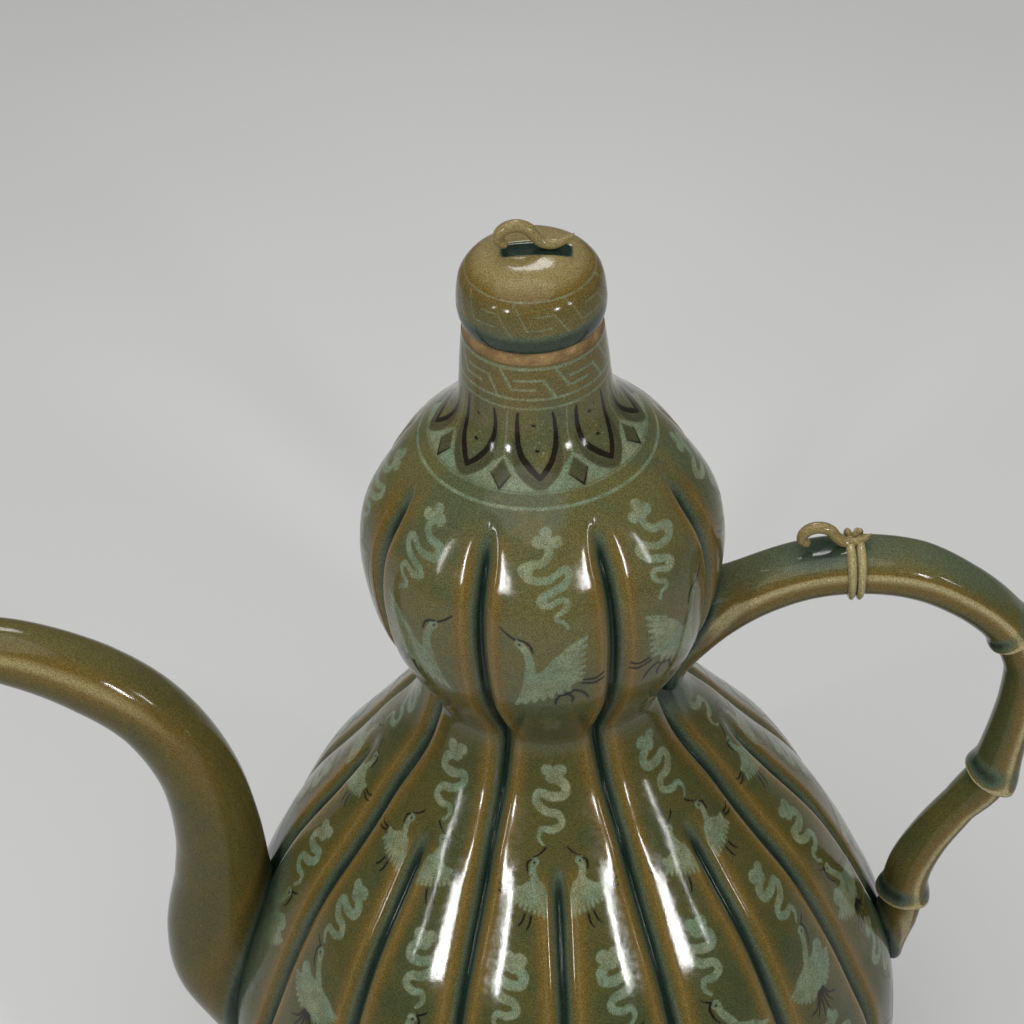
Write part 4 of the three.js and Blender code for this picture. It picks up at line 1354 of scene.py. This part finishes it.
def photo_camera():
    """The camera of the photograph: it stands in front, looks down and puts the waist at its pixel."""
    c, s = math.cos(CAMERA_ELEVATION), math.sin(CAMERA_ELEVATION)
    ahead = np.array([0, c, -s])
    level = np.array([1.0, 0, 0])
    above = np.cross(level, ahead)
    c, s = math.cos(CAMERA_ROLL), math.sin(CAMERA_ROLL)
    to_ray = np.stack([c * level + s * above, -s * level + c * above, ahead])
    middle = PICTURE_SIDE / 2
    aim = Vector((
        (TARGET_PIXEL[0] - middle) / CAMERA_FOCAL_PIXELS,
        -(TARGET_PIXEL[1] - middle) / CAMERA_FOCAL_PIXELS,
        1,
    ))
    swing = np.array(Vector((0, 0, 1)).rotation_difference(aim).to_matrix())
    right, up, _ = swing @ to_ray
    data = bpy.data.cameras.new("camera")
    data.sensor_width = SENSOR
    data.lens = CAMERA_FOCAL_PIXELS / PICTURE_SIDE * SENSOR
    data.clip_start, data.clip_end = 0.01, 100
    camera = bpy.data.objects.new("camera", data)
    bpy.context.scene.collection.objects.link(camera)
    place = np.array([0, 0, CAMERA_TARGET_HEIGHT]) - CAMERA_DISTANCE * ahead
    camera.matrix_world = Matrix.Translation(place * MM + AXIS) @ look_rotation(right, up)
    bpy.context.scene.camera = camera


LAMP_AIM = Vector((0, 0, 200))


def softbox(name, azimuth, elevation, distance, width, height, radiance):
    """An oval lamp that looks at the ewer. Azimuth is from the front towards the handle."""
    a, e = math.radians(azimuth), math.radians(elevation)
    back = Vector((math.sin(a) * math.cos(e), -math.cos(a) * math.cos(e), math.sin(e)))
    data = bpy.data.lights.new(name, "AREA")
    data.shape = "ELLIPSE"
    data.size, data.size_y = width * MM, height * MM
    data.energy = radiance * math.pi * data.size * data.size_y * math.pi / 4
    lamp = bpy.data.objects.new(name, data)
    bpy.context.scene.collection.objects.link(lamp)
    place = (LAMP_AIM + back * distance) * MM + Vector(AXIS)
    lamp.matrix_world = Matrix.Translation(place) @ (-back).to_track_quat("-Z", "Y").to_matrix().to_4x4()


# Azimuth, elevation, distance, width, height and radiance of each lamp
SOFTBOXES = {
    "softbox_left": (-37, 20, 1000, 68, 195, 88),
    "softbox_right": (37, 20, 1000, 68, 195, 88),
    "softbox_far_left": (-58, 20, 1000, 42, 190, 42),
    "softbox_far_right": (58, 20, 1000, 42, 190, 42),
    "softbox_above": (180, 57, 1100, 420, 280, 14),
    "softbox_overhead": (-25, 72, 1300, 1700, 1700, 1.6),
}
ROOM_LIGHT = 0.16


def studio():
    for name, values in SOFTBOXES.items():
        softbox(name, *values)
    world = bpy.data.worlds.new("studio")
    world.use_nodes = True
    background = world.node_tree.nodes["Background"]
    background.inputs["Color"].default_value = (1, 1, 1, 1)
    background.inputs["Strength"].default_value = ROOM_LIGHT
    bpy.context.scene.world = world


PAPER_SIDE = 6.0
PAPER_PALE = (0.62, 0.62, 0.61, 1)
PAPER_PALER = (0.65, 0.65, 0.64, 1)
PAPER_TO_LIGHT = (0.22, 0.22, 0.22, 1)


def floor():
    """Pale paper, which sends less light back on to the ewer than it shows to the camera."""
    n = Nodes("floor_paper")
    pale = n.mix(n.spread(n.noise(3, 2), 0.2, 0.8), PAPER_PALE, PAPER_PALER)
    path = n.add("ShaderNodeLightPath")
    seen = n.math("MAXIMUM", path.outputs["Is Camera Ray"], path.outputs["Is Glossy Ray"])
    seen = n.math("MAXIMUM", seen, path.outputs["Is Transmission Ray"])
    n.put(n.shader.inputs["Base Color"], n.mix(seen, PAPER_TO_LIGHT, pale))
    n.put(n.shader.inputs["Roughness"], 0.9)
    n.put(n.shader.inputs["Normal"], n.bump(n.noise(900, 3), 0.05, 0.3))
    mesh = bpy.data.meshes.new("floor")
    corners = [(x * PAPER_SIDE, y * PAPER_SIDE, 0) for x, y in ((-1, -1), (1, -1), (1, 1), (-1, 1))]
    mesh.from_pydata(corners, [], [(0, 1, 2, 3)])
    mesh.materials.append(n.material)
    paper = bpy.data.objects.new("floor", mesh)
    bpy.context.scene.collection.objects.link(paper)


photo_camera()
studio()
floor()
bpy.context.scene.view_settings.view_transform = "Standard"
